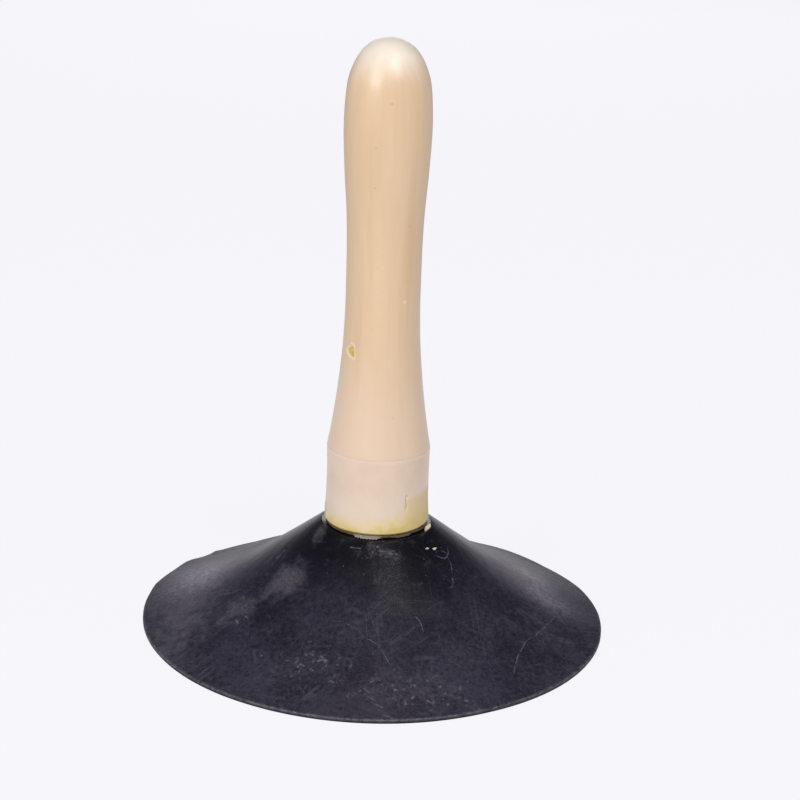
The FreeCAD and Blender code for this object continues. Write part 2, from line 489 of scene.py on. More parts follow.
# %% Use a group, start a material
def use(tree, group, **values):
    """Places a shader group and returns its mask. Underscores in a name stand for spaces."""
    node = put(tree, "ShaderNodeGroup", node_tree=group)
    for key, value in values.items():
        socket = node.inputs[key.replace("_", " ").capitalize()]
        if isinstance(value, bpy.types.NodeSocket):
            tree.links.new(value, socket)
        else:
            socket.default_value = value
    return node.outputs[0]


def start_material(name, **constants):
    """A material with only a Principled BSDF in it, and the place of each point on the piece."""
    material = bpy.data.materials.new(name)
    material.use_nodes = True
    tree = material.node_tree
    tree.nodes.clear()
    shader = put(tree, "ShaderNodeBsdfPrincipled", constants)
    put(tree, "ShaderNodeOutputMaterial", {"Surface": shader.outputs[0]})
    place = put(tree, "ShaderNodeTexCoord").outputs["Object"]
    return material, tree, shader.inputs, place


def add_bump(tree, sockets, height, distance):
    bump = put(tree, "ShaderNodeBump", {"Strength": 1.0, "Distance": distance, "Height": height})
    tree.links.new(bump.outputs[0], sockets["Normal"])


print("material helpers ready")

# %% [markdown]
# ## Rubber
#
# Moulded black rubber is dark and satin. It is never plain black: a grey bloom comes out of it
# as it ages, and it has fine scratches every way, scrapes where it met the tap, and cloudy
# patches where something dried on it. All of that is a little lighter and rougher than the
# rubber under it. On its two flanks a light grey is painted as well: partly a film of dust,
# partly a painted sheen where the flanks mirror the bright tent.
#
# Strokes are few, so each is listed one by one. Patches and the painted sheen are soft, so they
# are worked out once for each point of the mesh, when the cup is made, and the material only reads
# them.

# %% Marks on the cup, in millimetres seen from above
CUP_STROKES = [
    # start, end, bow, width
    ((19.6, -16.8), (24.8, -9.0), -2.6, 0.30),
    ((20.6, -15.6), (24.6, -12.6), 0.8, 0.28),
    ((24.5, -13.5), (26.0, -20.0), 0.9, 0.28),
    ((26.0, -19.5), (25.2, -26.5), 1.1, 0.26),
    ((63.4, -9.0), (54.6, -29.2), 0.7, 0.24),
    ((55.2, -27.6), (47.3, -51.5), -1.5, 0.24),
    ((-13.8, -42.2), (-3.0, -48.0), 1.1, 0.14),
    ((-3.5, -48.0), (6.4, -58.0), 1.6, 0.14),
    ((-2.2, -66.8), (0.6, -69.4), 0.1, 0.26),
    ((-1.0, -70.4), (2.6, -72.0), 0.2, 0.34),
    ((1.0, -72.6), (4.8, -74.8), 0.2, 0.32),
    ((3.0, -75.6), (6.0, -76.9), 0.2, 0.28),
    ((4.4, -77.7), (8.0, -79.0), 0.1, 0.30),
    ((-31.0, -6.0), (-34.0, -9.0), 0.3, 0.40),
    ((-46.0, -30.5), (-44.5, -33.5), 0.0, 0.40),
    ((-44.0, -29.0), (-41.5, -33.0), 0.2, 0.34),
    ((-52.0, -13.0), (-46.5, -15.0), -0.4, 0.40),
    ((-8.5, -20.4), (-4.5, -21.4), 0.2, 0.30),
    ((1.0, -21.8), (7.0, -21.2), -0.3, 0.34),
    ((14.0, -40.0), (17.0, -44.5), 0.5, 0.20),
    ((-52.7, -28.5), (-50.5, -31.5), 0.0, 0.36),
]
# Painted sheen: a light grey laid on the flanks where they mirror the bright tent, given as a film of
# dust.
CUP_DUST_AND_SHEEN = [
    # middle, half size along x and y, strength
    ((54.0, 15.0), (9.0, 13.0), 1.0),
    ((61.0, 0.0), (9.0, 8.0), 0.5),
    ((-62.0, 16.0), (12.0, 19.0), 1.0),
]
CUP_PATCHES = [
    # middle, half size along x and y, how smeared and how flecked it is
    ((-30.0, -22.5), (6.5, 6.5), 0.9, 0.2),
    ((-46.0, -26.5), (7.0, 6.0), 0.7, 0.5),
    ((-16.0, -58.5), (11.0, 8.0), 0.2, 1.0),
    ((15.0, -66.5), (20.0, 7.0), 0.3, 1.0),
    ((-19.5, -9.0), (3.0, 4.5), 0.6, 0.4),
    ((2.0, -22.5), (8.0, 2.5), 0.4, 0.9),
    ((58.0, -26.0), (12.0, 10.0), 0.35, 0.3),
    ((-66.0, -22.0), (10.0, 20.0), 0.7, 0.3),
    ((48.0, 8.0), (13.0, 14.0), 0.8, 0.2),
    ((20.0, 50.0), (18.0, 10.0), 0.8, 0.5),
    ((-38.0, 34.0), (16.0, 9.0), 0.8, 0.4),
]
print(len(CUP_STROKES), "strokes,", len(CUP_PATCHES), "patches,", len(CUP_DUST_AND_SHEEN), "dust_and_sheen_patches")


# %% Greys of the rubber and of what lies on it
RUBBER_BLACK = (0.0035, 0.0034, 0.0052)
BLOOM_GREY = (0.0365, 0.0348, 0.0535)
DUST_AND_SHEEN_GREY = (0.400, 0.368, 0.415)
FILM_GREY = (0.060, 0.056, 0.066)
WIPE_GREY = (0.085, 0.080, 0.095)
SMUDGE_GREY = (0.107, 0.100, 0.111)
FLECK_GREY = (0.220, 0.210, 0.235)
MARK_GREY = (0.215, 0.205, 0.225)
RIM_WEAR_AND_HIGHLIGHT_GREY = (0.130, 0.125, 0.138)
SPECK_GREY = (0.26, 0.24, 0.25)
print("bloom is", round(BLOOM_GREY[1] / RUBBER_BLACK[1]), "times as light as bare rubber")

# %% Scratches and strokes on the rubber
CUP_HAIRS = [
    # direction in radians, fineness, width, seed
    (0.5, 170, 0.014, 1),
    (1.4, 210, 0.012, 2),
    (2.4, 190, 0.014, 3),
    (2.9, 160, 0.012, 6),
]
STROKE_SHAKE = 1.6  # millimetres over which a stroke wanders


def rubber_hairs(tree, place):
    hairs = 0.0
    for turn, fineness, width, seed in CUP_HAIRS:
        inputs = {"turn": turn, "fineness": fineness, "width": width, "share": 0.5, "seed": seed}
        one = use(tree, SCRATCHES, place=place, stretch=0.06, **inputs)
        hairs = calc(tree, "MAXIMUM", hairs, one)
    return hairs


def rubber_strokes(tree, place):
    inputs = {"Vector": place, "Scale": 260.0, "Detail": 2.0}
    jitter = put(tree, "ShaderNodeTexNoise", inputs).outputs["Color"]
    jitter = vector_calc(tree, "SUBTRACT", jitter, (0.5, 0.5, 0.5))
    jitter = vector_calc(tree, "SCALE", jitter, scale=STROKE_SHAKE * MM)
    shaky = vector_calc(tree, "ADD", place, jitter)
    strokes = 0.0
    for *ends, bow, width in CUP_STROKES:
        start, end = ([x * MM, y * MM, 0] for x, y in ends)
        one = use(tree, STROKE, place=shaky, start=start, end=end, bow=bow * MM, width=width * MM)
        strokes = calc(tree, "MAXIMUM", strokes, one)
    return strokes


print(len(CUP_HAIRS), "sets of hairs and", len(CUP_STROKES), "strokes")


# %% Soft marks on the rubber
def rubber_dirt(tree, place):
    """Masks of the smudges, the flecks, a film of dust and small bright specks."""
    torn = swing(tree, noise(tree, place, 210.0, 6.0, 0.7, 1.0), 2.4)
    fine = ramp(tree, noise(tree, place, 1300.0, 3.0, 0.7, 2.0), 0.3, 0.7, 0.35, 1.0)
    sharp = ramp(tree, noise(tree, place, 560.0, 5.0, 0.62, 3.0), 0.54, 0.72)
    smudges = calc(tree, "ADD", stored(tree, "smudge"), torn)
    smudges = times(tree, ramp(tree, smudges, 0.1, 1.0), fine)
    flecks = calc(tree, "ADD", stored(tree, "fleck"), torn)
    flecks = times(tree, ramp(tree, flecks, 0.1, 0.9), sharp)
    film = use(tree, DUST, place=place, cloud_size=42.0, cover=0.52, seed=4.0)
    specks = ramp(tree, noise(tree, place, 820.0, 2.0, 0.5, 7.0), 0.735, 0.775)
    return smudges, flecks, film, specks


def rubber_bloom(tree, place, radius, outside):
    """How grey the rubber has turned: not at all on the crown, most near the rim. Also its mottle."""
    bloom = ramp(tree, radius, 20 * MM, 46 * MM)
    cloud = ramp(tree, noise(tree, place, 48.0, 5.0, 0.6, 2.0), 0.32, 0.68, 0.55, 1.3)
    mottle = ramp(tree, noise(tree, place, 640.0, 6.0, 0.78, 3.0), 0.34, 0.66, 0.40, 1.60)
    bloom = times(tree, bloom, cloud, mottle)
    bloom = times(tree, bloom, ramp(tree, radius, 40 * MM, 74 * MM, 0.50, 0.88))
    bloom = times(tree, bloom, calc(tree, "ADD", times(tree, outside, 0.8), 0.2))
    return bloom, mottle


def rubber_wipes(tree, x, y, radius):
    """Broad wipes that run round the cup near its rim, mostly on the left."""
    round_it = calc(tree, "ARCTAN2", y, x)
    place = combine(tree, times(tree, round_it, 0.16), times(tree, radius, 0.10))
    wipes = ramp(tree, noise(tree, place, 420.0, 4.0, 0.65, 5.0), 0.50, 0.72)
    near_rim = ramp(tree, radius, 52 * MM, 72 * MM)
    to_left = ramp(tree, x, -20 * MM, -60 * MM, 0.25, 1.0)
    return times(tree, wipes, near_rim, to_left)


print("soft marks ready")


# %% Rubber material
def rubber_material():
    constants = {"Specular IOR Level": 0.5, "IOR": 1.5}
    material, tree, sockets, _ = start_material("black rubber", **constants)
    place = put(tree, "ShaderNodeAttribute", attribute_name="rest").outputs["Vector"]
    outside = ramp(tree, stored(tree, "outside"), 0.4, 0.6)
    rim_wear_and_highlight = stored(tree, "edge")
    x, y, _ = separate(tree, place)
    radius = calc(tree, "SQRT", calc(tree, "ADD", times(tree, x, x), times(tree, y, y)))
    hairs = rubber_hairs(tree, place)
    strokes = rubber_strokes(tree, place)
    gaps = ramp(tree, noise(tree, place, 520.0, 3.0, 0.65, 21.0), 0.40, 0.60, 0.15, 1.0)
    strokes = times(tree, strokes, gaps)
    smudges, flecks, film, specks = rubber_dirt(tree, place)
    bloom, mottle = rubber_bloom(tree, place, radius, outside)
    wipes = rubber_wipes(tree, x, y, radius)

    colour = mix(tree, bloom, RUBBER_BLACK, BLOOM_GREY)
    # The light grey on the flanks is partly a dust film and partly a painted sheen.
    colour = mix(tree, times(tree, stored(tree, "dust_and_sheen"), times(tree, mottle, 0.60)), colour, DUST_AND_SHEEN_GREY)
    colour = layer(tree, colour, film, 0.22, FILM_GREY)
    colour = layer(tree, colour, wipes, 0.65, WIPE_GREY)
    colour = layer(tree, colour, smudges, 0.85, SMUDGE_GREY)
    colour = layer(tree, colour, flecks, 0.75, FLECK_GREY)
    marks = calc(tree, "MAXIMUM", times(tree, hairs, 0.14), times(tree, strokes, 0.75))
    marks = times(tree, marks, outside)
    colour = layer(tree, colour, marks, 0.85, MARK_GREY)
    # A light line along the rim's top corner: partly wear, partly a painted highlight.
    rim_wear_and_highlight = times(tree, rim_wear_and_highlight, gaps)
    colour = layer(tree, colour, rim_wear_and_highlight, 0.80, RIM_WEAR_AND_HIGHLIGHT_GREY)
    colour = layer(tree, colour, specks, 0.6, SPECK_GREY)
    tree.links.new(colour, sockets["Base Color"])

    rough = calc(tree, "ADD", 0.27, times(tree, bloom, 0.14))
    dull = calc(tree, "MAXIMUM", calc(tree, "MAXIMUM", film, smudges), wipes)
    rough = calc(tree, "ADD", rough, times(tree, dull, 0.14))
    rough = calc(tree, "ADD", rough, times(tree, marks, 0.15), clamp=True)
    tree.links.new(rough, sockets["Roughness"])

    skin = noise(tree, place, 900.0, 4.0, 0.65, 11.0)
    wave = noise(tree, place, 75.0, 3.0, 0.5, 12.0)
    height = calc(tree, "ADD", times(tree, skin, 0.10), wave)
    add_bump(tree, sockets, height, 0.45 * MM)
    return material


RUBBER = rubber_material()
print("material:", RUBBER.name, len(RUBBER.node_tree.nodes), "nodes")

# %% [markdown]
# ## Lacquer on wood
#
# The handle was dipped, so the lacquer is thick, smooth and glossy, and the wood shows through
# it only as faint streaks. A clear coat gives the sharp reflection over the softer cream layer.
# The palm has worn the dome dull; its pale colour is partly that wear and partly painted light
# from above. Inside the chip the yellow wood is bare.

# %% Colours of the lacquer, and the small spots in it
CREAM = (0.740, 0.542, 0.345)
CREAM_DEEP = (0.685, 0.485, 0.285)
CREAM_STREAK = (0.635, 0.436, 0.240)
CREAM_WORN_AND_TOPLIT = (0.97, 0.905, 0.785)
CREAM_COOL = (0.760, 0.590, 0.440)
FLECK_BROWN = (0.45, 0.30, 0.17)
WOOD_YELLOW = (0.78, 0.56, 0.16)
WOOD_BROWN = (0.60, 0.39, 0.075)
CHIP_LIP_PALE_AND_HIGHLIGHT = (0.84, 0.70, 0.54)
LACQUER_SPOTS = [
    # azimuth, radius, height, width, height of the spot, colour
    (-54.0, 12.6, 118.0, 0.7, 0.9, (0.90, 0.82, 0.70)),
    (-85.5, 14.0, 184.0, 0.7, 0.6, (0.50, 0.34, 0.19)),
    (-105.0, 13.7, 156.5, 0.6, 0.6, (0.52, 0.35, 0.20)),
    (-50.7, 12.8, 143.6, 0.6, 0.6, (0.50, 0.33, 0.18)),
    (-72.0, 15.3, 79.0, 0.5, 0.6, (0.55, 0.38, 0.24)),
    (60.0, 13.4, 151.0, 0.8, 1.2, (0.50, 0.34, 0.19)),
    (118.0, 14.3, 90.0, 0.7, 1.0, (0.88, 0.80, 0.68)),
    (-50.0, 12.6, 137.0, 3.2, 21.0, (0.665, 0.450, 0.245)),
    (-96.0, 12.6, 122.0, 2.6, 26.0, (0.760, 0.555, 0.330)),
]
print(len(LACQUER_SPOTS), "spots")


# %% Lacquer material
def lacquer_spots(tree, colour, place):
    for azimuth, radius, height, width, tall, tint in LACQUER_SPOTS:
        azimuth = math.radians(azimuth)
        spot = (radius * math.cos(azimuth), radius * math.sin(azimuth), height)
        values = {"centre": [c * MM for c in spot], "size": [s * MM for s in (width, width, tall)]}
        spot = use(tree, PATCH, place=place, tear=0.35, grain=500.0, seed=height, **values)
        colour = layer(tree, colour, spot, 0.9, tint)
    return colour


def lacquer_material():
    constants = {"Coat Roughness": 0.27, "Coat IOR": 1.5, "Specular IOR Level": 0.45}
    material, tree, sockets, place = start_material("cream lacquer", **constants)
    streaks = use(tree, STREAKS, place=place, fineness=230.0, stretch=0.05, seed=1.0)
    broad = use(tree, STREAKS, place=place, fineness=70.0, stretch=0.12, seed=2.0)
    colour = mix(tree, ramp(tree, broad, 0.32, 0.68), CREAM_DEEP, CREAM)
    colour = mix(tree, ramp(tree, streaks, 0.50, 0.75, 0.0, 0.5), colour, CREAM_STREAK)
    colour = lacquer_spots(tree, colour, place)
    height = separate(tree, place)[2]
    ragged = calc(tree, "ADD", height, swing(tree, broad, 12 * MM))
    # worn marks the palm's wear; the pale colour laid on with it is also painted light from above.
    worn = ramp(tree, ragged, (TOP - 15) * MM, (TOP - 1) * MM)
    colour = layer(tree, colour, worn, 0.82, CREAM_WORN_AND_TOPLIT)
    near_shoulder = ramp(tree, height, (SHOULDER + 42) * MM, (SHOULDER + 4) * MM)
    colour = layer(tree, colour, near_shoulder, 0.60, CREAM_COOL)
    fleck = ramp(tree, noise(tree, place, 420.0, 1.0, 0.5, 6.0), 0.755, 0.785)
    colour = layer(tree, colour, fleck, 0.35, FLECK_BROWN)
    chip_field = stored(tree, "chip")
    torn = swing(tree, noise(tree, place, 1500.0, 3.0, 0.6, 4.0), 0.35)
    chip_field = calc(tree, "ADD", chip_field, torn)
    bare = ramp(tree, chip_field, 0.95, 0.70)
    fibre = use(tree, STREAKS, place=place, fineness=1600.0, stretch=0.10, seed=3.0)
    wood = mix(tree, ramp(tree, fibre, 0.35, 0.65), WOOD_BROWN, WOOD_YELLOW)
    colour = mix(tree, bare, colour, wood)
    # The chip's pale lip: partly its own colour, partly a painted highlight on its raised rim.
    lip = times(tree, ramp(tree, chip_field, 1.55, 1.00), calc(tree, "SUBTRACT", 1.0, bare))
    colour = layer(tree, colour, lip, 0.55, CHIP_LIP_PALE_AND_HIGHLIGHT)
    tree.links.new(colour, sockets["Base Color"])
    smear = ramp(tree, noise(tree, place, 45.0, 4.0, 0.6, 8.0), 0.35, 0.75, 0.34, 0.46)
    smear = calc(tree, "ADD", smear, times(tree, worn, 0.16))
    tree.links.new(calc(tree, "ADD", smear, times(tree, bare, 0.4), clamp=True), sockets["Roughness"])
    gloss = calc(tree, "SUBTRACT", 0.50, times(tree, worn, 0.42))
    tree.links.new(times(tree, gloss, calc(tree, "SUBTRACT", 1.0, bare)), sockets["Coat Weight"])
    ripple = noise(tree, place, 75.0, 2.0, 0.5, 9.0)
    under = calc(tree, "ADD", times(tree, ripple, 0.5), times(tree, streaks, 0.12))
    add_bump(tree, sockets, calc(tree, "ADD", under, times(tree, fibre, bare)), 0.25 * MM)
    return material


LACQUER = lacquer_material()
print("material:", LACQUER.name)

# %% [markdown]
# ## Collar plastic, stained by cement
#
# The collar is paler and cooler than the handle and less glossy. Contact cement has crept up it
# from below: a yellow line along its foot, strongest on the right, and a smear with a slanted
# edge. The stains are places on the piece, so they are worked out from height and side.


# %% Colours of the collar and its stains
COLLAR_ROSE = (0.730, 0.560, 0.408)
COLLAR_CREAM = (0.785, 0.628, 0.472)
COLLAR_FOOT_REFLECTION = (0.80, 0.670, 0.530)
COLLAR_TOP_HIGHLIGHT = (0.83, 0.655, 0.555)
STAIN_FAINT = (0.760, 0.615, 0.285)
STAIN_STRONG = (0.620, 0.470, 0.105)
STAIN_SMEAR = (0.720, 0.565, 0.245)
DIRT_GREY = (0.38, 0.35, 0.26)
SPECKLE_BROWN = (0.36, 0.27, 0.12)
PAINTED_SHADE_UNDER_COLLAR = (0.20, 0.14, 0.05)
SPLIT_BROWN = (0.20, 0.14, 0.07)
DIRT_MIDDLE, DIRT_SIZE = (-17.8, -3.5, 42.5), (3, 2.5, 4)
print("the stain starts", FOOT + 1.4, "mm up")


# %% Collar material
def collar_material():
    constants = {"Coat Roughness": 0.25, "Specular IOR Level": 0.45}
    material, tree, sockets, place = start_material("pale collar", **constants)
    side = separate(tree, place)
    x, height = side[0], side[2]
    cloud = noise(tree, place, 90.0, 4.0, 0.6, 1.0)
    grain = noise(tree, place, 420.0, 5.0, 0.7, 2.0)
    colour = mix(tree, ramp(tree, cloud, 0.3, 0.7), COLLAR_ROSE, COLLAR_CREAM)
    # Paler towards the foot: a painted reflection of the pale table.
    pale = ramp(tree, height, (SHOULDER - 6) * MM, (FOOT + 6) * MM)
    colour = layer(tree, colour, pale, 0.55, COLLAR_FOOT_REFLECTION)
    # A painted highlight along the collar's rounded top edge.
    lip = ramp(tree, height, (SHOULDER - 1.6) * MM, (SHOULDER - 0.3) * MM)
    colour = layer(tree, colour, lip, 0.5, COLLAR_TOP_HIGHLIGHT)
    torn = swing(tree, grain, 7.0 * MM)
    drift = swing(tree, cloud, 8.0 * MM)
    level = calc(tree, "ADD", height, calc(tree, "ADD", torn, drift))
    rightward = ramp(tree, x, -4 * MM, 15 * MM)
    band = calc(tree, "ADD", (FOOT + 1.4) * MM, times(tree, rightward, 3.6 * MM))
    above = calc(tree, "SUBTRACT", level, band)
    faint = ramp(tree, above, 5.0 * MM, -1.0 * MM)
    strong = ramp(tree, above, 1.2 * MM, -3.4 * MM)
    colour = layer(tree, colour, faint, 0.70, STAIN_FAINT)
    colour = layer(tree, colour, strong, 0.78, STAIN_STRONG)
    ragged = calc(tree, "ADD", height, times(tree, torn, 0.6))
    slant = calc(tree, "SUBTRACT", ragged, (FOOT + 9.0) * MM)
    slant = calc(tree, "SUBTRACT", slant, times(tree, x, 0.18))
    smear = times(tree, ramp(tree, slant, 1.6 * MM, -1.2 * MM), ramp(tree, x, 7.6 * MM, 11.4 * MM))
    colour = layer(tree, colour, smear, 0.62, STAIN_SMEAR)
    values = {"centre": [c * MM for c in DIRT_MIDDLE], "size": [s * MM for s in DIRT_SIZE]}
    dirt = use(tree, PATCH, place=place, **values)
    colour = layer(tree, colour, dirt, 0.45, DIRT_GREY)
    speckle = times(tree, ramp(tree, grain, 0.66, 0.74), calc(tree, "MAXIMUM", faint, smear))
    colour = layer(tree, colour, speckle, 0.35, SPECKLE_BROWN)
    # Painted shade on the underside of the collar's foot, over the dark gap.
    under = ramp(tree, height, (FOOT + 0.2) * MM, (FOOT - 0.55) * MM)
    colour = layer(tree, colour, under, 0.75, PAINTED_SHADE_UNDER_COLLAR)
    split = stored(tree, "split")
    split = ramp(tree, calc(tree, "ADD", split, times(tree, grain, 0.25)), 0.36, 0.16)
    colour = layer(tree, colour, split, 0.6, SPLIT_BROWN)
    tree.links.new(colour, sockets["Base Color"])
    stained = calc(tree, "MAXIMUM", strong, smear)
    tree.links.new(ramp(tree, stained, 0.0, 1.0, 0.36, 0.55), sockets["Roughness"])
    tree.links.new(ramp(tree, stained, 0.0, 1.0, 0.35, 0.08), sockets["Coat Weight"])
    lumps = times(tree, grain, stained, 0.9)
    add_bump(tree, sockets, calc(tree, "ADD", lumps, times(tree, cloud, 0.4)), 0.25 * MM)
    return material


COLLAR_PLASTIC = collar_material()
print("material:", COLLAR_PLASTIC.name)


# %% [markdown]
# ## Cement and zinc
#
# Dried contact cement is crumbly, from pale grey to yellow brown. The washer and the screw are
# steel with bright zinc on them, gone dull and spotted in the damp of the cup.


# %% Cement and zinc materials
CEMENT_BROWN = (0.110, 0.080, 0.040)
CEMENT_DARK = (0.085, 0.055, 0.020)
CEMENT_GREY = (0.30, 0.27, 0.235)
CEMENT_CREAM = (0.70, 0.60, 0.43)
CEMENT_GRIT = (0.10, 0.075, 0.045)
ZINC_DULL = (0.52, 0.52, 0.52)
ZINC_BRIGHT = (0.64, 0.63, 0.60)
RUST = (0.20, 0.125, 0.075)


def cement_material():
    material, tree, sockets, place = start_material("contact cement")
    cloud = noise(tree, place, 130.0, 3.0, 0.6, 3.0)
    grain = noise(tree, place, 1100.0, 4.0, 0.7, 4.0)
    colour = mix(tree, ramp(tree, cloud, 0.42, 0.58), CEMENT_BROWN, CEMENT_DARK)
    pale = stored(tree, "pale")
    colour = mix(tree, ramp(tree, pale, 0.4, 1.0), colour, CEMENT_GREY)
    colour = mix(tree, ramp(tree, pale, 1.0, 2.0), colour, CEMENT_CREAM)
    colour = mix(tree, ramp(tree, grain, 0.45, 0.75, 0.0, 0.45), colour, CEMENT_GRIT)
    tree.links.new(colour, sockets["Base Color"])
    tree.links.new(ramp(tree, grain, 0.3, 0.7, 0.55, 0.85), sockets["Roughness"])
    add_bump(tree, sockets, grain, 0.3 * MM)
    return material


def zinc_material():
    material, tree, sockets, place = start_material("dull zinc", **{"Metallic": 1.0})
    spangle = noise(tree, place, 220.0, 3.0, 0.6, 1.0)
    spots = use(tree, DUST, place=place, cloud_size=150.0, cover=0.42, speck_size=900.0, seed=3.0)
    lines = use(tree, SCRATCHES, place=place, turn=0.9, fineness=900.0, width=0.03, share=0.6, seed=6.0)
    colour = mix(tree, ramp(tree, spangle, 0.3, 0.7), ZINC_DULL, ZINC_BRIGHT)
    colour = layer(tree, colour, spots, 0.7, RUST)
    tree.links.new(colour, sockets["Base Color"])
    rough = ramp(tree, spangle, 0.3, 0.7, 0.28, 0.42)
    worn = times(tree, calc(tree, "MAXIMUM", spots, lines), 0.25)
    rough = calc(tree, "ADD", rough, worn, clamp=True)
    tree.links.new(rough, sockets["Roughness"])
    add_bump(tree, sockets, calc(tree, "SUBTRACT", spangle, times(tree, lines, 0.5)), 0.06 * MM)
    return material


CEMENT = cement_material()
ZINC = zinc_material()
print("materials:", CEMENT.name, "and", ZINC.name)

# %% [markdown]
# ## A lathe made of Geometry Nodes
#
# Handle, collar, cup, washer and screw head all follow one rule: an outline turned about Z.
# Blender's Screw modifier could do it, but a tree of our own gives named inputs and a UV map.
# It lays a grid, takes each grid column's points from the outline, and bends the grid round.
# `Waver` moves the surface in and out a little, because no turned or moulded piece is perfect.


# %% Two helpers for every Geometry Nodes tree
def put_typed(tree, kind, inputs, data_type):
    """A node with other sockets for each data type: links those in use and returns its output."""
    node = put(tree, kind, data_type=data_type)
    for socket in node.inputs:
        if socket.enabled and socket.name in inputs:
            tree.links.new(inputs[socket.name], socket)
    return next(s for s in node.outputs if s.enabled)


def end_tree(tree, geometry, ins, outs):
    """The last steps of a tree: make its result real, and give it its finish."""
    real = put(tree, "GeometryNodeRealizeInstances", {"Geometry": geometry}).outputs[0]
    inputs = {"Geometry": real, "Material": ins["Finish"]}
    done = put(tree, "GeometryNodeSetMaterial", inputs).outputs[0]
    tree.links.new(done, outs[0])
    return tree


print("tree helpers ready")

# %% The lathe tree
WELD = 0.002  # millimetres within which the first and last column are one


def lathe_tree():
    takes = {
        "Outline": ("NodeSocketGeometry", None),
        "Segments": ("NodeSocketInt", 96),
        "Waver": (FLOAT, 0.0),
        "Waver size": (FLOAT, 30.0),
        "Seed": (FLOAT, 0.0),
        "Finish": ("NodeSocketMaterial", None),
    }
    tree, ins, outs = new_group("lathe", "GeometryNodeTree", takes, {"Piece": "NodeSocketGeometry"})
    line = put(tree, "GeometryNodeCurveToMesh", {"Curve": ins["Outline"]}).outputs[0]
    count = put(tree, "GeometryNodeAttributeDomainSize", {0: line}).outputs["Point Count"]
    columns = calc(tree, "ADD", ins["Segments"], 1.0)
    grid = put(tree, "GeometryNodeMeshGrid", {"Vertices X": columns, "Vertices Y": count})
    index = put(tree, "GeometryNodeInputIndex").outputs[0]
    row = calc(tree, "MODULO", index, count)
    column = calc(tree, "FLOOR", calc(tree, "DIVIDE", calc(tree, "ADD", index, 0.5), count))
    position = put(tree, "GeometryNodeInputPosition").outputs[0]
    inputs = {"Geometry": line, "Value": position, "Index": row}
    kinds = {"data_type": "FLOAT_VECTOR", "domain": "POINT"}
    spot = put(tree, "GeometryNodeSampleIndex", inputs, **kinds).outputs[0]
    spot = separate(tree, spot)
    angle = times(tree, calc(tree, "DIVIDE", column, ins["Segments"]), math.tau)
    x = times(tree, spot[0], calc(tree, "COSINE", angle))
    y = times(tree, spot[0], calc(tree, "SINE", angle))
    place = combine(tree, x, y, spot[1])
    uneven = noise(tree, place, ins["Waver size"], 2.0, 0.5, ins["Seed"])
    push = times(tree, calc(tree, "SUBTRACT", uneven, 0.5), times(tree, ins["Waver"], 2.0))
    out_x = calc(tree, "ADD", x, times(tree, push, calc(tree, "COSINE", angle)))
    out_y = calc(tree, "ADD", y, times(tree, push, calc(tree, "SINE", angle)))
    on_axis = calc(tree, "LESS_THAN", spot[0], 0.01 * MM)
    moved = combine(tree, out_x, out_y, spot[1])
    inputs = {"Factor": on_axis, "A": moved, "B": place}
    final = put_typed(tree, "ShaderNodeMix", inputs, "VECTOR")
    inputs = {"Geometry": grid.outputs["Mesh"], "Name": "UVMap", "Value": grid.outputs["UV Map"]}
    kinds = {"data_type": "FLOAT2", "domain": "CORNER"}
    named = put(tree, "GeometryNodeStoreNamedAttribute", inputs, **kinds).outputs[0]
    bent = put(tree, "GeometryNodeSetPosition", {"Geometry": named, "Position": final}).outputs[0]
    inputs = {"Geometry": bent, "Distance": WELD * MM}
    closed = put(tree, "GeometryNodeMergeByDistance", inputs).outputs[0]
    return end_tree(tree, closed, ins, outs)


LATHE = lathe_tree()
print("lathe tree:", len(LATHE.nodes), "nodes")


# %% Run a tree and keep a plain mesh
def run_tree(name, base, tree, **values):
    """Runs a tree on a base object and returns a new object with the plain result."""
    bpy.context.scene.collection.objects.link(base)
    modifier = base.modifiers.new("tree", "NODES")
    modifier.node_group = tree
    sockets = {s.name: s.identifier for s in tree.interface.items_tree if s.in_out == "INPUT"}
    for key, value in values.items():
        modifier[sockets[key.replace("_", " ").capitalize()]] = value
    graph = bpy.context.evaluated_depsgraph_get()
    mesh = bpy.data.meshes.new_from_object(base.evaluated_get(graph), depsgraph=graph)
    bpy.data.objects.remove(base)
    mesh.name = name
    mesh.materials.clear()
    mesh.materials.append(values["finish"])
    mesh.polygons.foreach_set("material_index", [0] * len(mesh.polygons))
    return point_outwards(bpy.data.objects.new(name, mesh))


def point_outwards(piece):
    """Turns a closed mesh's faces round if they point inwards."""
    shape = bmesh.new()
    shape.from_mesh(piece.data)
    if shape.calc_volume(signed=True) < 0:
        bmesh.ops.reverse_faces(shape, faces=shape.faces)
        shape.to_mesh(piece.data)
    shape.free()
    return piece


def turn(name, outline, finish, segments=96, sharp=35.0, waver=0.0, waver_size=30.0, seed=0.0):
    """A lathe piece from an outline of (radius, height) in millimetres."""
    curve = bpy.data.curves.new(name, "CURVE")
    curve.dimensions = "3D"
    spline = curve.splines.new("POLY")
    spline.points.add(len(outline) - 1)
    for point, (radius, height) in zip(spline.points, outline):
        point.co = (radius * MM, height * MM, 0, 1)
    piece = run_tree(
        name,
        bpy.data.objects.new(name, curve),
        LATHE,
        segments=segments,
        waver=waver * MM,
        waver_size=waver_size,
        seed=seed,
        finish=finish,
    )
    piece.data.shade_smooth()
    piece.data.set_sharp_from_angle(angle=math.radians(sharp))
    bpy.context.scene.collection.objects.link(piece)
    print(name, "has", len(piece.data.polygons), "faces")
    return piece


# %% [markdown]
# ## Drawing outlines
#
# An outline is a list of points. Where the real piece flows, a few points are joined by a smooth
# curve; where it has a corner, the corner gets a small round, because nothing real is razor sharp
# and a round edge is what catches the light.


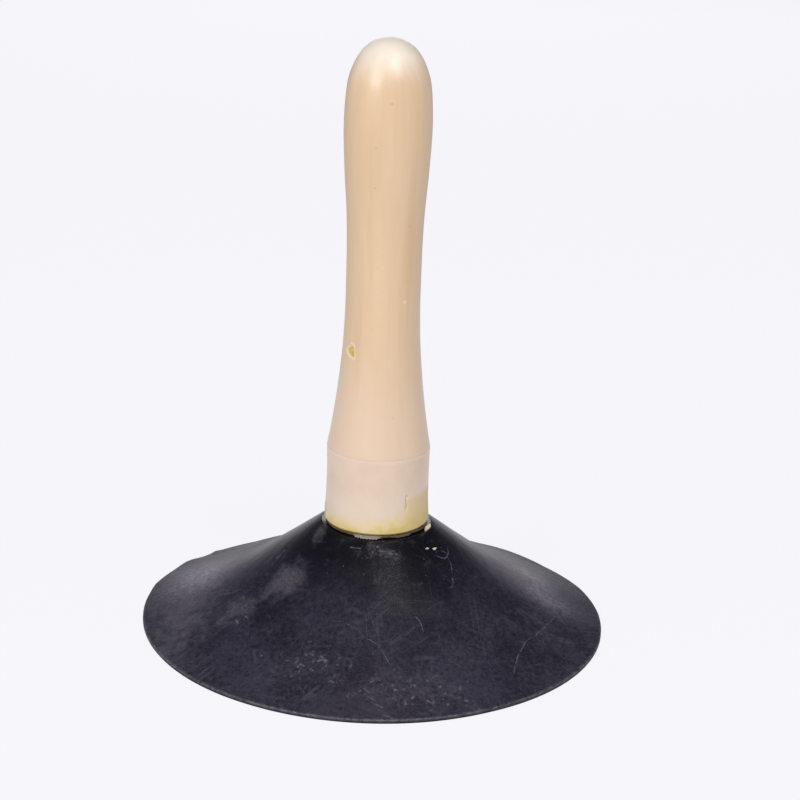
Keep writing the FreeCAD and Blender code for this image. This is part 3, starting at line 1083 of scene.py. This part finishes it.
# %% Smooth stretches and rounded corners
def flowing(points, steps):
    """A Catmull-Rom curve through the points, with a number of steps between each two."""
    p = np.array(points, float)
    p = np.vstack([2 * p[0] - p[1], p, 2 * p[-1] - p[-2]])
    t = np.linspace(0, 1, steps, endpoint=False)[:, None]
    line = []
    for a, b, c, d in zip(p, p[1:], p[2:], p[3:]):
        bend = 2 * b + (c - a) * t + (2 * a - 5 * b + 4 * c - d) * t**2 + (3 * b - a - 3 * c + d) * t**3
        line += (bend / 2).tolist()
    return [tuple(q) for q in line] + [tuple(points[-1])]


def rounded(before, corner, after, radius, steps=4):
    """Points of an arc that rounds the corner."""
    corner = Vector(corner)
    to_before = (Vector(before) - corner).normalized()
    to_after = (Vector(after) - corner).normalized()
    half = to_before.angle(to_after) / 2
    reach = radius / math.tan(half)
    middle = corner + (to_before + to_after).normalized() * radius / math.sin(half)
    first = corner + to_before * reach - middle
    last = corner + to_after * reach - middle
    shares = [n / steps for n in range(steps + 1)]
    return [tuple(middle + first.slerp(last, s, first).normalized() * radius) for s in shares]


print("outline helpers ready")

# %% [markdown]
# ## Hand work on a turned piece
#
# A turned piece gets its accidents afterwards: a trimmed rim, a chip, a crack. `reshape` hands a
# rule the points of the mesh as plain arrays in millimetres and puts the moved points back.
# A rule can also leave a value on each point, which the material reads by name.


# %% Move points by a rule, store a value on each point
def reshape(piece, rule):
    """Moves the points by rule(x, y, z), which gives new x, y, z and the values to store."""
    mesh = piece.data
    flat = np.empty(len(mesh.vertices) * 3)
    mesh.vertices.foreach_get("co", flat)
    moved, values = rule(*(flat.reshape(-1, 3).T / MM))
    mesh.vertices.foreach_set("co", (np.array(moved).T * MM).ravel())
    for name, value in values.items():
        kind = "FLOAT_VECTOR" if value.ndim == 2 else "FLOAT"
        field = "vector" if value.ndim == 2 else "value"
        mesh.attributes.new(name, kind, "POINT").data.foreach_set(field, value.ravel())
    mesh.update()
    return piece


def smooth_step(value, low, high):
    t = np.clip((value - low) / (high - low), 0, 1)
    return t * t * (3 - 2 * t)


def away_from(x, y, z, azimuth, height):
    """How far each point is from a spot on a turned surface: round it and up it, in millimetres."""
    turned_by = np.arctan2(y, x) - math.radians(azimuth)
    return ((turned_by + math.pi) % math.tau - math.pi) * np.hypot(x, y), z - height


print("hand work ready")

# %% [markdown]
# ## The cup
#
# The cup is one closed shell: crown, flank and rim outside, and the hollow inside, with the
# moulded steps that a cup has near its rim and round its washer. It is dense enough that the
# flank shows no facets.
#
# The rim was trimmed by hand, so it isn't a true circle: it has flats, corners and one nick.
# The attribute `rest` keeps each point's first place, and the material places dust and
# scratches by it.

# %% Outline of the cup
SEAT = 16.5  # radius of the raised seat, of the spigot, and of the hole for the screw
SPIGOT = 10.0
HOLE = 2.8
RIM_EDGE = 1.3  # how thick the rim's edge is
CUP_OUTSIDE = [
    (18.2, CROWN), (19.4, CROWN - 0.25), (24, 32.8), (34, 25.1), (46, 16.5), (60, 8.9), (72, 3.9),
]  # fmt: skip
CUP_INSIDE = [(60, 5.7), (46, 12.5), (34, 20.5), (25, 27.2), (20.5, CROWN_UNDERSIDE - 0.4)]


def cup_outline():
    rim_top, rim_bottom, rim_inside = (RIM, RIM_EDGE), (RIM, 0), (RIM - 3.5, 0)
    seat_bottom, seat_top = (SEAT, CROWN), (SEAT, FOOT)
    spigot_foot, spigot_top = (SPIGOT, FOOT), (SPIGOT, SPIGOT_TOP)
    line = [(HOLE, CROWN_UNDERSIDE), (HOLE, SPIGOT_TOP)]
    line += rounded(line[-1], spigot_top, spigot_foot, 0.8)
    line += [spigot_foot]
    line += rounded(spigot_foot, seat_top, seat_bottom, 0.3)
    line += rounded(seat_top, seat_bottom, (RIM, CROWN), 0.4)
    line += flowing([*CUP_OUTSIDE, rim_top], 9)[:-1]
    line += rounded(CUP_OUTSIDE[-1], rim_top, rim_bottom, 0.35)
    line += rounded(rim_top, rim_bottom, rim_inside, 0.25)
    line += [rim_inside, (76.2, 0.35), (74.6, 0.8), (74.1, 0.95)]
    line += [(73.3, 0.75), (72.7, 1.35), (70.0, 2.2), (66.0, 3.55)]
    line += flowing(CUP_INSIDE, 7)
    groove = [(19.6, 0.2), (18.6, 0.15), (18.0, 1.1), (17.2, 1.2), (16.6, 0.9), (16.4, 0)]
    line += [(radius, CROWN_UNDERSIDE - deep) for radius, deep in groove]
    line += [(HOLE + 0.2, CROWN_UNDERSIDE), (HOLE, CROWN_UNDERSIDE)]
    return line


print("cup outline:", len(cup_outline()), "points")

# %% Trim the rim
RIM_TRIM = [  # azimuth in degrees, and how far the rim stands out from a true circle there
    (-180, 0.7), (-150, 0.2), (-120, 0.0), (-90, 0.1), (-60, -0.1), (-30, 0.1), (-11, 0.0),
    (4, -0.2), (11, -0.4), (20, -0.7), (26, -1.4), (31, -2.0), (36, -2.5), (50, -2.5), (55, -2.9),
    (61, -3.7), (90, -4.0), (120, -4.2), (127, -4.2), (131, -3.7), (135, -3.1), (139, -2.4),
    (140.5, -1.6), (143, -2.1), (145.5, -1.9), (147.5, -1.0), (149, -0.1), (151, 0.4),
    (157, 0.2), (163, 0.8), (167, 1.2), (173, 0.8), (180, 0.7),
]  # fmt: skip
TRIM_FROM, TRIM_TO = 66, 79  # radii between which the trimmed edge pulls the flank along
PATCH_REACH = 1.6  # how far past its half size a patch fades out
SKIN_RADII, SKIN_HEIGHTS = zip(*CUP_OUTSIDE, (RIM, RIM_EDGE))


def cup_marks(x, y, outside):
    """How smudged and flecked each point is, and how much dust and painted sheen it gets."""
    smudge, fleck, dust_and_sheen = np.zeros_like(x), np.zeros_like(x), np.zeros_like(x)
    for (middle_x, middle_y), (half_x, half_y), strength in CUP_DUST_AND_SHEEN:
        far = np.hypot((x - middle_x) / half_x, (y - middle_y) / half_y)
        dust_and_sheen += strength * np.exp(-far * far) * outside
    for (middle_x, middle_y), (half_x, half_y), smeared, flecked in CUP_PATCHES:
        far = np.hypot((x - middle_x) / half_x, (y - middle_y) / half_y)
        near = 1.3 * (1 - np.minimum(far / PATCH_REACH, 1))
        smudge = np.maximum(smudge, near * smeared * outside)
        fleck = np.maximum(fleck, near * flecked * outside)
    return {"smudge": smudge, "fleck": fleck, "dust_and_sheen": dust_and_sheen}


def trim(x, y, z):
    radius = np.hypot(x, y)
    azimuth = np.degrees(np.arctan2(y, x))
    extra = np.interp(azimuth, *zip(*RIM_TRIM)) * smooth_step(radius, TRIM_FROM, TRIM_TO)
    grow = 1 + extra / np.maximum(radius, 1)
    above_skin = z - np.interp(radius, SKIN_RADII, SKIN_HEIGHTS)
    by_rim, further_in = smooth_step(above_skin, -0.5, -0.3), smooth_step(above_skin, -1.0, -0.5)
    outside = np.where(radius > 78, by_rim, further_in)
    # edge: the rim's top corner, which the material paints lighter, partly as wear and partly as a
    # painted highlight
    edge = 1 - smooth_step(np.hypot(radius - RIM + 0.15, z - RIM_EDGE + 0.05), 0.12, 0.5)
    values = {"rest": np.stack([x, y, z], 1) * MM, "outside": outside, "edge": edge}
    return (x * grow, y * grow, z), values | cup_marks(x, y, outside)


values = {"segments": 384, "waver": 0.22, "waver_size": 22.0, "seed": 3.0}
CUP = turn("rubber_bell", cup_outline(), RUBBER, **values)
reshape(CUP, trim)

# %% [markdown]
# ## The handle
#
# Turned from one piece: a flare down to the shoulder, a straight waist, and a grip that swells
# and closes in a dome. Under the shoulder a plain tenon goes down inside the collar, with a bore
# for the cup's spigot and a pilot hole for the screw.
#
# One chip goes through the lacquer to the wood. It is a real hollow with a raised lip, so the
# outline gets more points near its height. The attribute `chip` is the distance from the chip's
# middle, 1 at its edge, and the lacquer material turns it into bare wood and a pale lip; the
# lip's paleness is partly its own colour and partly a painted highlight on the raised rim.

# %% Turn the handle
GRIP = [
    (17.6, SHOULDER), (16.3, 72), (14.65, 84), (13.2, 98.5), (12.55, 112), (12.5, 124),
    (12.55, 136), (12.95, 147), (13.85, 159.5), (14.45, 174), (13.85, 186), (12.4, 192.5),
    (9.3, 198.4), (5.0, 201.8), (0, TOP), (-5.0, 201.8),
]  # fmt: skip
TENON, BORE, BORE_TOP = 16.6, 10.3, FOOT + 15
PILOT, PILOT_TOP = 2.1, 80
CHIP_AZIMUTH, CHIP_HEIGHT = -140.0, 100.0
CHIP_HALF_WIDTH, CHIP_HALF_HEIGHT, CHIP_DEPTH = 1.8, 2.05, 0.6
GRIP_STEPS = 9


def finer(line, low, high, step):
    """The same line with points no further apart than step, between two heights."""
    result = [line[0]]
    for a, b in zip(line, line[1:]):
        inside = low < (a[1] + b[1]) / 2 < high
        count = math.ceil(math.dist(a, b) / step) if inside else 1
        result += [tuple(Vector(a).lerp(Vector(b), n / count)) for n in range(1, count + 1)]
    return result


def handle_outline():
    line = [(0, PILOT_TOP), (PILOT, PILOT_TOP - 1), (PILOT, BORE_TOP), (BORE, BORE_TOP), (BORE, FOOT)]
    line += rounded((BORE, FOOT), (TENON, FOOT), (TENON, SHOULDER), 0.5)
    line += [(TENON, SHOULDER)]
    line += rounded((TENON, SHOULDER), GRIP[0], GRIP[1], 0.06)
    line += flowing(GRIP, GRIP_STEPS)[2 : -GRIP_STEPS - 1]
    line += [(0, TOP)]
    return finer(line, CHIP_HEIGHT - 5, CHIP_HEIGHT + 5, 0.3)


def chip(x, y, z):
    radius = np.maximum(np.hypot(x, y), 0.001)
    u, v = away_from(x, y, z, CHIP_AZIMUTH, CHIP_HEIGHT)
    u, v = u / CHIP_HALF_WIDTH, v / CHIP_HALF_HEIGHT
    around = np.arctan2(v, u)
    far = np.hypot(u, v) * (1 + 0.18 * np.sin(3 * around + 1) + 0.10 * np.sin(5 * around + 2))
    far = np.where(radius < TENON - 5, 9, far)  # the bore's wall is left alone
    hollow = CHIP_DEPTH * (1 - smooth_step(far, 0.55, 1.0)) * (1 + 0.25 * np.sin(9 * v + 2 * u))
    lip = 0.12 * (1 - smooth_step(np.abs(far - 1.15), 0.0, 0.28))
    scale = 1 + (lip - hollow) / radius
    return (x * scale, y * scale, z), {"chip": np.minimum(far, 4)}


values = {"segments": 256, "waver": 0.06, "waver_size": 26.0, "seed": 7.0}
HANDLE = turn("turned_handle", handle_outline(), LACQUER, **values)
reshape(HANDLE, chip)

# %% [markdown]
# ## The collar
#
# A thin sleeve, 1 mm thick, slipped over the tenon and closed up against the shoulder. Its foot
# swells a little and is well rounded. It has one short split from the foot up and a bump on the
# left where cement set under it. The attribute `split` is the distance from the split.

# %% Turn the collar
COLLAR_INSIDE = 16.7
COLLAR_FOOT = FOOT - 0.75
SPLIT_AZIMUTH, SPLIT_BOTTOM, SPLIT_TOP, SPLIT_DEPTH = -54.5, 46.4, 51.0, 0.45
BUMP_AZIMUTH, BUMP_HEIGHT, BUMP_SIZE = -171.0, 42.4, 2.0


def collar_outline():
    side = [(17.62, SHOULDER), (17.52, 58), (17.5, 52), (17.62, 46), (17.85, 41.5)]
    side += [(18.0, COLLAR_FOOT + 0.9)]
    line = [(COLLAR_INSIDE, COLLAR_FOOT + 0.5), (COLLAR_INSIDE, SHOULDER - 0.02)]
    line += rounded(line[-1], (side[0][0], SHOULDER - 0.02), side[1], 0.05)
    line += flowing(side, 8)[1:]
    foot_outside, foot_inside = (18.05, COLLAR_FOOT), (COLLAR_INSIDE, COLLAR_FOOT)
    line += rounded((18.0, COLLAR_FOOT + 1.2), foot_outside, foot_inside, 0.7, 6)
    line += rounded(foot_outside, foot_inside, line[0], 0.2)
    line += [line[0]]
    return finer(line, SPLIT_BOTTOM - 2, SPLIT_TOP + 2, 0.4)


def age_collar(x, y, z):
    radius = np.hypot(x, y)
    skin = radius > COLLAR_INSIDE + 0.4
    u, v = away_from(x, y, z, SPLIT_AZIMUTH, (SPLIT_TOP + SPLIT_BOTTOM) / 2)
    u = u + 0.12 * np.sin(1.7 * v)
    past_end = np.maximum(np.abs(v) - (SPLIT_TOP - SPLIT_BOTTOM) / 2, 0)
    far = np.hypot(u, past_end)
    depth = SPLIT_DEPTH * (1 - smooth_step(far, 0.05, 0.5))
    a, b = away_from(x, y, z, BUMP_AZIMUTH, BUMP_HEIGHT)
    bump = 0.35 * np.exp(-(a * a + b * b) / BUMP_SIZE**2)
    azimuth = np.arctan2(y, x)
    dents = 0.05 * np.sin(2.2 * azimuth + 0.13 * z) + 0.05 * np.sin(5.1 * azimuth - 0.3 * z)
    foot = smooth_step(-z, -SHOULDER + 6, -FOOT - 4)
    scale = 1 + skin * (bump - depth + dents * foot) / radius
    return (x * scale, y * scale, z), {"split": np.where(skin, np.minimum(far, 4), 4.0)}


values = {"segments": 320, "waver": 0.05, "waver_size": 60.0, "seed": 2.0}
SLEEVE = turn("collar_sleeve", collar_outline(), COLLAR_PLASTIC, **values)
reshape(SLEEVE, age_collar)

# %% [markdown]
# ## Squeezed-out cement
#
# A bead runs all the way round under the collar, mostly out of sight. In front it comes out as a
# grey crescent on the crown and, beside that, as a brown strip. One cream flake hangs at the
# right, and two small lumps lie below it on the crown. The bead is turned and then pushed out
# where the table says; the flake and the lumps are balls of their own in the same piece. The
# attribute `pale` picks grey, brown or cream.

# %% Turn and push the bead
BEAD_MIDDLE, BEAD_HEIGHT = 16.95, FOOT - 1.35
BEAD_OUT = [  # azimuth, how far the bead comes out, and how pale it is
    (-180, 0.0, 0.1), (-150, 0.0, 0.0), (-116, 0.0, 0.5), (-111, 1.0, 0.9), (-100, 1.35, 1.0),
    (-88, 1.1, 0.9), (-81, 0.0, 0.4), (-73, 0.2, 0.0), (-66, 0.8, 0.0), (-52, 0.7, 0.0),
    (-46, 0.0, 0.0), (-34, 0.3, 0.2), (-20, 0.8, 0.6), (-10, 0.1, 0.2), (40, 0.4, 0.0),
    (90, 0.1, 0.5), (130, 0.7, 0.7), (180, 0.0, 0.1),
]  # fmt: skip


def bead_outline():
    steps = 14
    angles = [math.tau * n / steps for n in range(steps)]
    ring = [(BEAD_MIDDLE + 0.55 * math.cos(a), BEAD_HEIGHT + 0.62 * math.sin(a)) for a in angles]
    return ring + [ring[0]]


def push_out(x, y, z):
    radius = np.hypot(x, y)
    azimuth = np.degrees(np.arctan2(y, x))
    angles, out, pale = zip(*BEAD_OUT)
    ragged = 1 + 0.15 * np.sin(azimuth * 1.9) + 0.12 * np.sin(azimuth * 4.3)
    far = np.interp(azimuth, angles, out) * ragged
    outer = smooth_step(radius, BEAD_MIDDLE - 0.3, BEAD_MIDDLE + 0.5)
    scale = 1 + far * outer / radius
    drop = 0.42 * np.minimum(far, 1.1) * outer * (z - CROWN - 0.1)
    return (x * scale, y * scale, z - np.maximum(drop, 0)), {"pale": np.interp(azimuth, angles, pale)}


values = {"segments": 360, "sharp": 60, "waver": 0.28, "waver_size": 420.0, "seed": 5.0}
BEAD = turn("squeezed_cement", bead_outline(), CEMENT, **values)
reshape(BEAD, push_out)


# %% Break off the flake and the lumps
LUMPS = [
    # name, middle, half size, degrees turned about Y and then about Z, seed
    ("flake", (17.7, -8.7, 37.8), (0.8, 1.5, 2.3), (34, -27), 11),
    ("lump", (20.3, -14.3, 32.4), (0.95, 0.5, 0.45), (0, 35), 12),
    ("small lump", (17.7, -15.9, 33.1), (0.75, 0.4, 0.4), (0, 35), 13),
]
DENTS = 14
CREAM_CEMENT = 2.0  # the value of `pale` that is cream


def make_lump(name, middle, half_size, turned, seed):
    """A small rough chunk: a ball of triangles, dented, squashed and set in place."""
    mesh = bpy.data.meshes.new(name)
    shape = bmesh.new()
    bmesh.ops.create_icosphere(shape, subdivisions=4, radius=1)
    rng = np.random.default_rng(seed)
    pushes = [(Vector(rng.normal(size=3)).normalized(), rng.uniform(0.6, 0.9)) for _ in range(DENTS)]
    for vertex in shape.verts:
        for way, limit in pushes:
            over = vertex.co.dot(way) - limit
            if over > 0:
                vertex.co -= way * over * 0.85
    shape.to_mesh(mesh)
    shape.free()
    about_y, about_z = (math.radians(d) for d in turned)
    turn_it = Matrix.Rotation(about_z, 3, "Z") @ Matrix.Rotation(about_y, 3, "Y")
    place = Matrix.Translation(Vector(middle) * MM) @ turn_it.to_4x4()
    mesh.transform(place @ Matrix.Diagonal((*[s * MM for s in half_size], 1)))
    pale = mesh.attributes.new("pale", "FLOAT", "POINT")
    pale.data.foreach_set("value", [CREAM_CEMENT] * len(mesh.vertices))
    mesh.materials.append(CEMENT)
    mesh.shade_smooth()
    mesh.set_sharp_from_angle(angle=math.radians(28))
    piece = bpy.data.objects.new(name, mesh)
    bpy.context.scene.collection.objects.link(piece)
    return piece


def join(first, *others):
    """One piece made of several that share a finish."""
    shape = bmesh.new()
    for piece in (first, *others):
        shape.from_mesh(piece.data)
    shape.to_mesh(first.data)
    shape.free()
    for piece in others:
        bpy.data.objects.remove(piece)
    return first


join(BEAD, *[make_lump(*lump) for lump in LUMPS])
print(BEAD.name, "now has", len(BEAD.data.polygons), "faces")

# %% [markdown]
# ## Crumbs on the crown
#
# Fine crumbs of cement lie on the crown near the collar. They repeat, so Geometry Nodes scatter
# them: points on a narrow cone that follows the crown, a small ball on each, turned and sized at
# random with a fixed seed.


# %% Scatter the crumbs
def crumbs_tree():
    takes = {
        "Ground": ("NodeSocketGeometry", None),
        "Density": (FLOAT, 10000.0),
        "Smallest": (FLOAT, 0.1),
        "Largest": (FLOAT, 0.3),
        "Seed": ("NodeSocketInt", 0),
        "Finish": ("NodeSocketMaterial", None),
    }
    tree, ins, outs = new_group("crumbs", "GeometryNodeTree", takes, {"Crumbs": "NodeSocketGeometry"})
    inputs = {"Mesh": ins["Ground"], "Density": ins["Density"], "Seed": ins["Seed"]}
    points = put(tree, "GeometryNodeDistributePointsOnFaces", inputs).outputs["Points"]
    ball = put(tree, "GeometryNodeMeshIcoSphere", {"Radius": 1.0, "Subdivisions": 2}).outputs["Mesh"]
    inputs = {"Min": ins["Smallest"], "Max": ins["Largest"], "Seed": ins["Seed"]}
    length = put_typed(tree, "FunctionNodeRandomValue", inputs, "FLOAT")
    size = combine(tree, length, times(tree, length, 0.7), times(tree, length, 0.5))
    most_turned = {1: (0.6, 0.6, math.tau)}
    spin = put(tree, "FunctionNodeRandomValue", most_turned, data_type="FLOAT_VECTOR").outputs[0]
    inputs = {"Points": points, "Instance": ball, "Rotation": spin, "Scale": size}
    placed = put(tree, "GeometryNodeInstanceOnPoints", inputs).outputs[0]
    return end_tree(tree, placed, ins, outs)


def crown_patch(name, from_azimuth, to_azimuth, columns=12):
    """A strip of the crown's surface between two azimuths."""
    rows = CUP_OUTSIDE[1:4]
    angles = np.radians(np.linspace(from_azimuth, to_azimuth, columns))
    points = []
    for a in angles:
        points += [(r * math.cos(a) * MM, r * math.sin(a) * MM, (h + 0.03) * MM) for r, h in rows]
    faces = []
    for column in range(columns - 1):
        for row in range(len(rows) - 1):
            corner = len(rows) * column + row
            faces.append((corner, corner + 1, corner + len(rows) + 1, corner + len(rows)))
    mesh = bpy.data.meshes.new(name)
    mesh.from_pydata(points, [], faces)
    return bpy.data.objects.new(name, mesh)


CRUMBS_TREE = crumbs_tree()
SMALLEST, LARGEST = 0.08, 0.28


def scatter(name, from_azimuth, to_azimuth, density, seed):
    patch = crown_patch(name, from_azimuth, to_azimuth)
    values = {"density": density, "smallest": SMALLEST * MM, "largest": LARGEST * MM, "seed": seed}
    piece = run_tree(name, patch, CRUMBS_TREE, finish=CEMENT, **values)
    bpy.context.scene.collection.objects.link(piece)
    return piece


CRUMBS = scatter("cement_crumbs", -75, -15, 26000.0, 4)
more = scatter("more crumbs", -160, 190, 3500.0, 9)
join(CRUMBS, more)
CRUMBS.data.shade_smooth()
print(CRUMBS.name, "has", len(CRUMBS.data.polygons), "faces")

# %% [markdown]
# ## Washer
#
# A stamped steel washer, slightly rounded on the punched side. It sits flush in the crown's
# underside, inside the moulded groove.

# %% Turn the washer
def washer_outline():
    low, high, edge, hole = WASHER_BOTTOM, CROWN_UNDERSIDE, WASHER, HOLE + 0.05
    line = [(hole, low + 0.3)]
    line += rounded((hole, high), (hole, low), (edge, low), 0.25)
    line += [(6.4, low), (6.8, low + 0.05), (13.0, low + 0.05), (13.4, low)]
    line += rounded((hole, low), (edge, low), (edge, high), 0.4)
    line += rounded((edge, low), (edge, high), (hole, high), 0.1)
    line += [(hole, high), (hole, low + 0.3)]
    return line


values = {"segments": 128, "waver": 0.04, "waver_size": 90.0, "seed": 4.0}
PLATE = turn("plate_washer", washer_outline(), ZINC, **values)

# %% [markdown]
# ## Screw
#
# A pan-head wood screw. Its blank is turned like the rest, from the head's dome to the tip. The
# thread is a rule too: each point of the blank moves out by how near it is to a helix, so a small
# Geometry Nodes tree cuts it. The cross recess is cut last, with a Boolean and a tapered cutter.

# %% Turn the screw's blank
SHANK, CORE, PITCH = 2.5, 1.8, 1.8
THREAD_FROM, THREAD_TO = BORE_TOP + 0.5, SCREW_TIP - 2.0


def screw_outline():
    line = [(0, HEAD_BOTTOM)]
    dome = [(0, 0), (1.6, 0.06), (3.3, 0.45), (4.5, 1.15), (HEAD, 1.9)]
    line += flowing([(radius, HEAD_BOTTOM + rise) for radius, rise in dome], 6)[1:]
    line += rounded(line[-1], (HEAD, WASHER_BOTTOM), (SHANK, WASHER_BOTTOM), 0.25)
    line += rounded((HEAD, WASHER_BOTTOM), (SHANK, WASHER_BOTTOM), (SHANK, THREAD_FROM), 0.2)
    line += [(SHANK, THREAD_FROM - 2), (CORE, THREAD_FROM - 0.5)]
    line += [(CORE, THREAD_TO - 2), (0.9, THREAD_TO), (0, SCREW_TIP)]
    return finer(line, THREAD_FROM - 2, SCREW_TIP, 0.15)


def thread_tree():
    takes = {
        "Blank": ("NodeSocketGeometry", None),
        "Pitch": (FLOAT, 0.002),
        "Depth": (FLOAT, 0.001),
        "Bottom": (FLOAT, 0.0),
        "Top": (FLOAT, 0.1),
        "Finish": ("NodeSocketMaterial", None),
    }
    tree, ins, outs = new_group("thread", "GeometryNodeTree", takes, {"Piece": "NodeSocketGeometry"})
    place = put(tree, "GeometryNodeInputPosition").outputs[0]
    x, y, z = separate(tree, place)
    turns = calc(tree, "DIVIDE", calc(tree, "ARCTAN2", y, x), math.tau)
    phase = calc(tree, "FRACT", calc(tree, "SUBTRACT", calc(tree, "DIVIDE", z, ins["Pitch"]), turns))
    off_crest = calc(tree, "ABSOLUTE", calc(tree, "SUBTRACT", phase, 0.5))
    crest = ramp(tree, off_crest, 0.26, 0.03)
    starts = ramp(tree, z, ins["Bottom"], calc(tree, "ADD", ins["Bottom"], ins["Pitch"]))
    fade_from = calc(tree, "SUBTRACT", ins["Top"], times(tree, ins["Pitch"], 2.0))
    ends = ramp(tree, z, ins["Top"], fade_from)
    out = times(tree, times(tree, crest, ins["Depth"]), times(tree, starts, ends))
    flat = combine(tree, x, y)
    way = vector_calc(tree, "NORMALIZE", flat)
    push = vector_calc(tree, "SCALE", way, scale=out)
    cut = put(tree, "GeometryNodeSetPosition", {"Geometry": ins["Blank"], "Offset": push}).outputs[0]
    return end_tree(tree, cut, ins, outs)


blank = turn("blank", screw_outline(), ZINC, segments=72, sharp=40)
bpy.context.scene.collection.objects.unlink(blank)
thread = {"pitch": PITCH, "depth": SHANK - CORE, "bottom": THREAD_FROM - 0.4, "top": SCREW_TIP}
thread = {name: value * MM for name, value in thread.items()}
SCREW = run_tree("pan_head_screw", blank, thread_tree(), finish=ZINC, **thread)
bpy.context.scene.collection.objects.link(SCREW)


# %% Cut the cross recess
def cross_cutter(length, width, depth):
    """Two crossed blades, wide at the bottom and narrow at the top."""
    shape = bmesh.new()
    for along, across in ((length, width), (width, length)):
        blade = bmesh.ops.create_cube(shape, size=1)["verts"]
        for vertex in blade:
            narrow = 0.55 if vertex.co.z > 0 else 1.0
            x, y = vertex.co.x * along * narrow, vertex.co.y * across * narrow
            vertex.co = Vector((x, y, HEAD_BOTTOM - 1 + (vertex.co.z + 0.5) * (depth + 1))) * MM
    mesh = bpy.data.meshes.new("cutter")
    shape.to_mesh(mesh)
    shape.free()
    cutter = bpy.data.objects.new("cutter", mesh)
    bpy.context.scene.collection.objects.link(cutter)
    return cutter


def cut_away(piece, cutter):
    modifier = piece.modifiers.new("cut", "BOOLEAN")
    modifier.operation = "DIFFERENCE"
    modifier.solver = "EXACT"
    modifier.use_self = True
    modifier.object = cutter
    graph = bpy.context.evaluated_depsgraph_get()
    mesh = bpy.data.meshes.new_from_object(piece.evaluated_get(graph), depsgraph=graph)
    piece.modifiers.clear()
    piece.data = mesh
    bpy.data.objects.remove(cutter)
    mesh.shade_smooth()
    mesh.set_sharp_from_angle(angle=math.radians(40))


cut_away(SCREW, cross_cutter(5.4, 1.1, 1.9))
print(SCREW.name, "has", len(SCREW.data.polygons), "faces")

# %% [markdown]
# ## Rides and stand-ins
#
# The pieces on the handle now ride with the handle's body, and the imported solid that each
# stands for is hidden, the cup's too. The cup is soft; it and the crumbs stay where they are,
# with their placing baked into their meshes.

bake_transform(CUP)
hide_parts("rubber_cup")
for piece, node, finish in (
    (HANDLE, "handle", "handle_lacquer"),
    (SLEEVE, "collar", "collar_plastic"),
    (BEAD, "cement_bead", "contact_cement"),
    (PLATE, "clamp_washer", "zinc_steel"),
    (SCREW, "screw", "zinc_steel"),
):
    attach(piece, "handle")
    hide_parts(node)
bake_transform(CRUMBS)
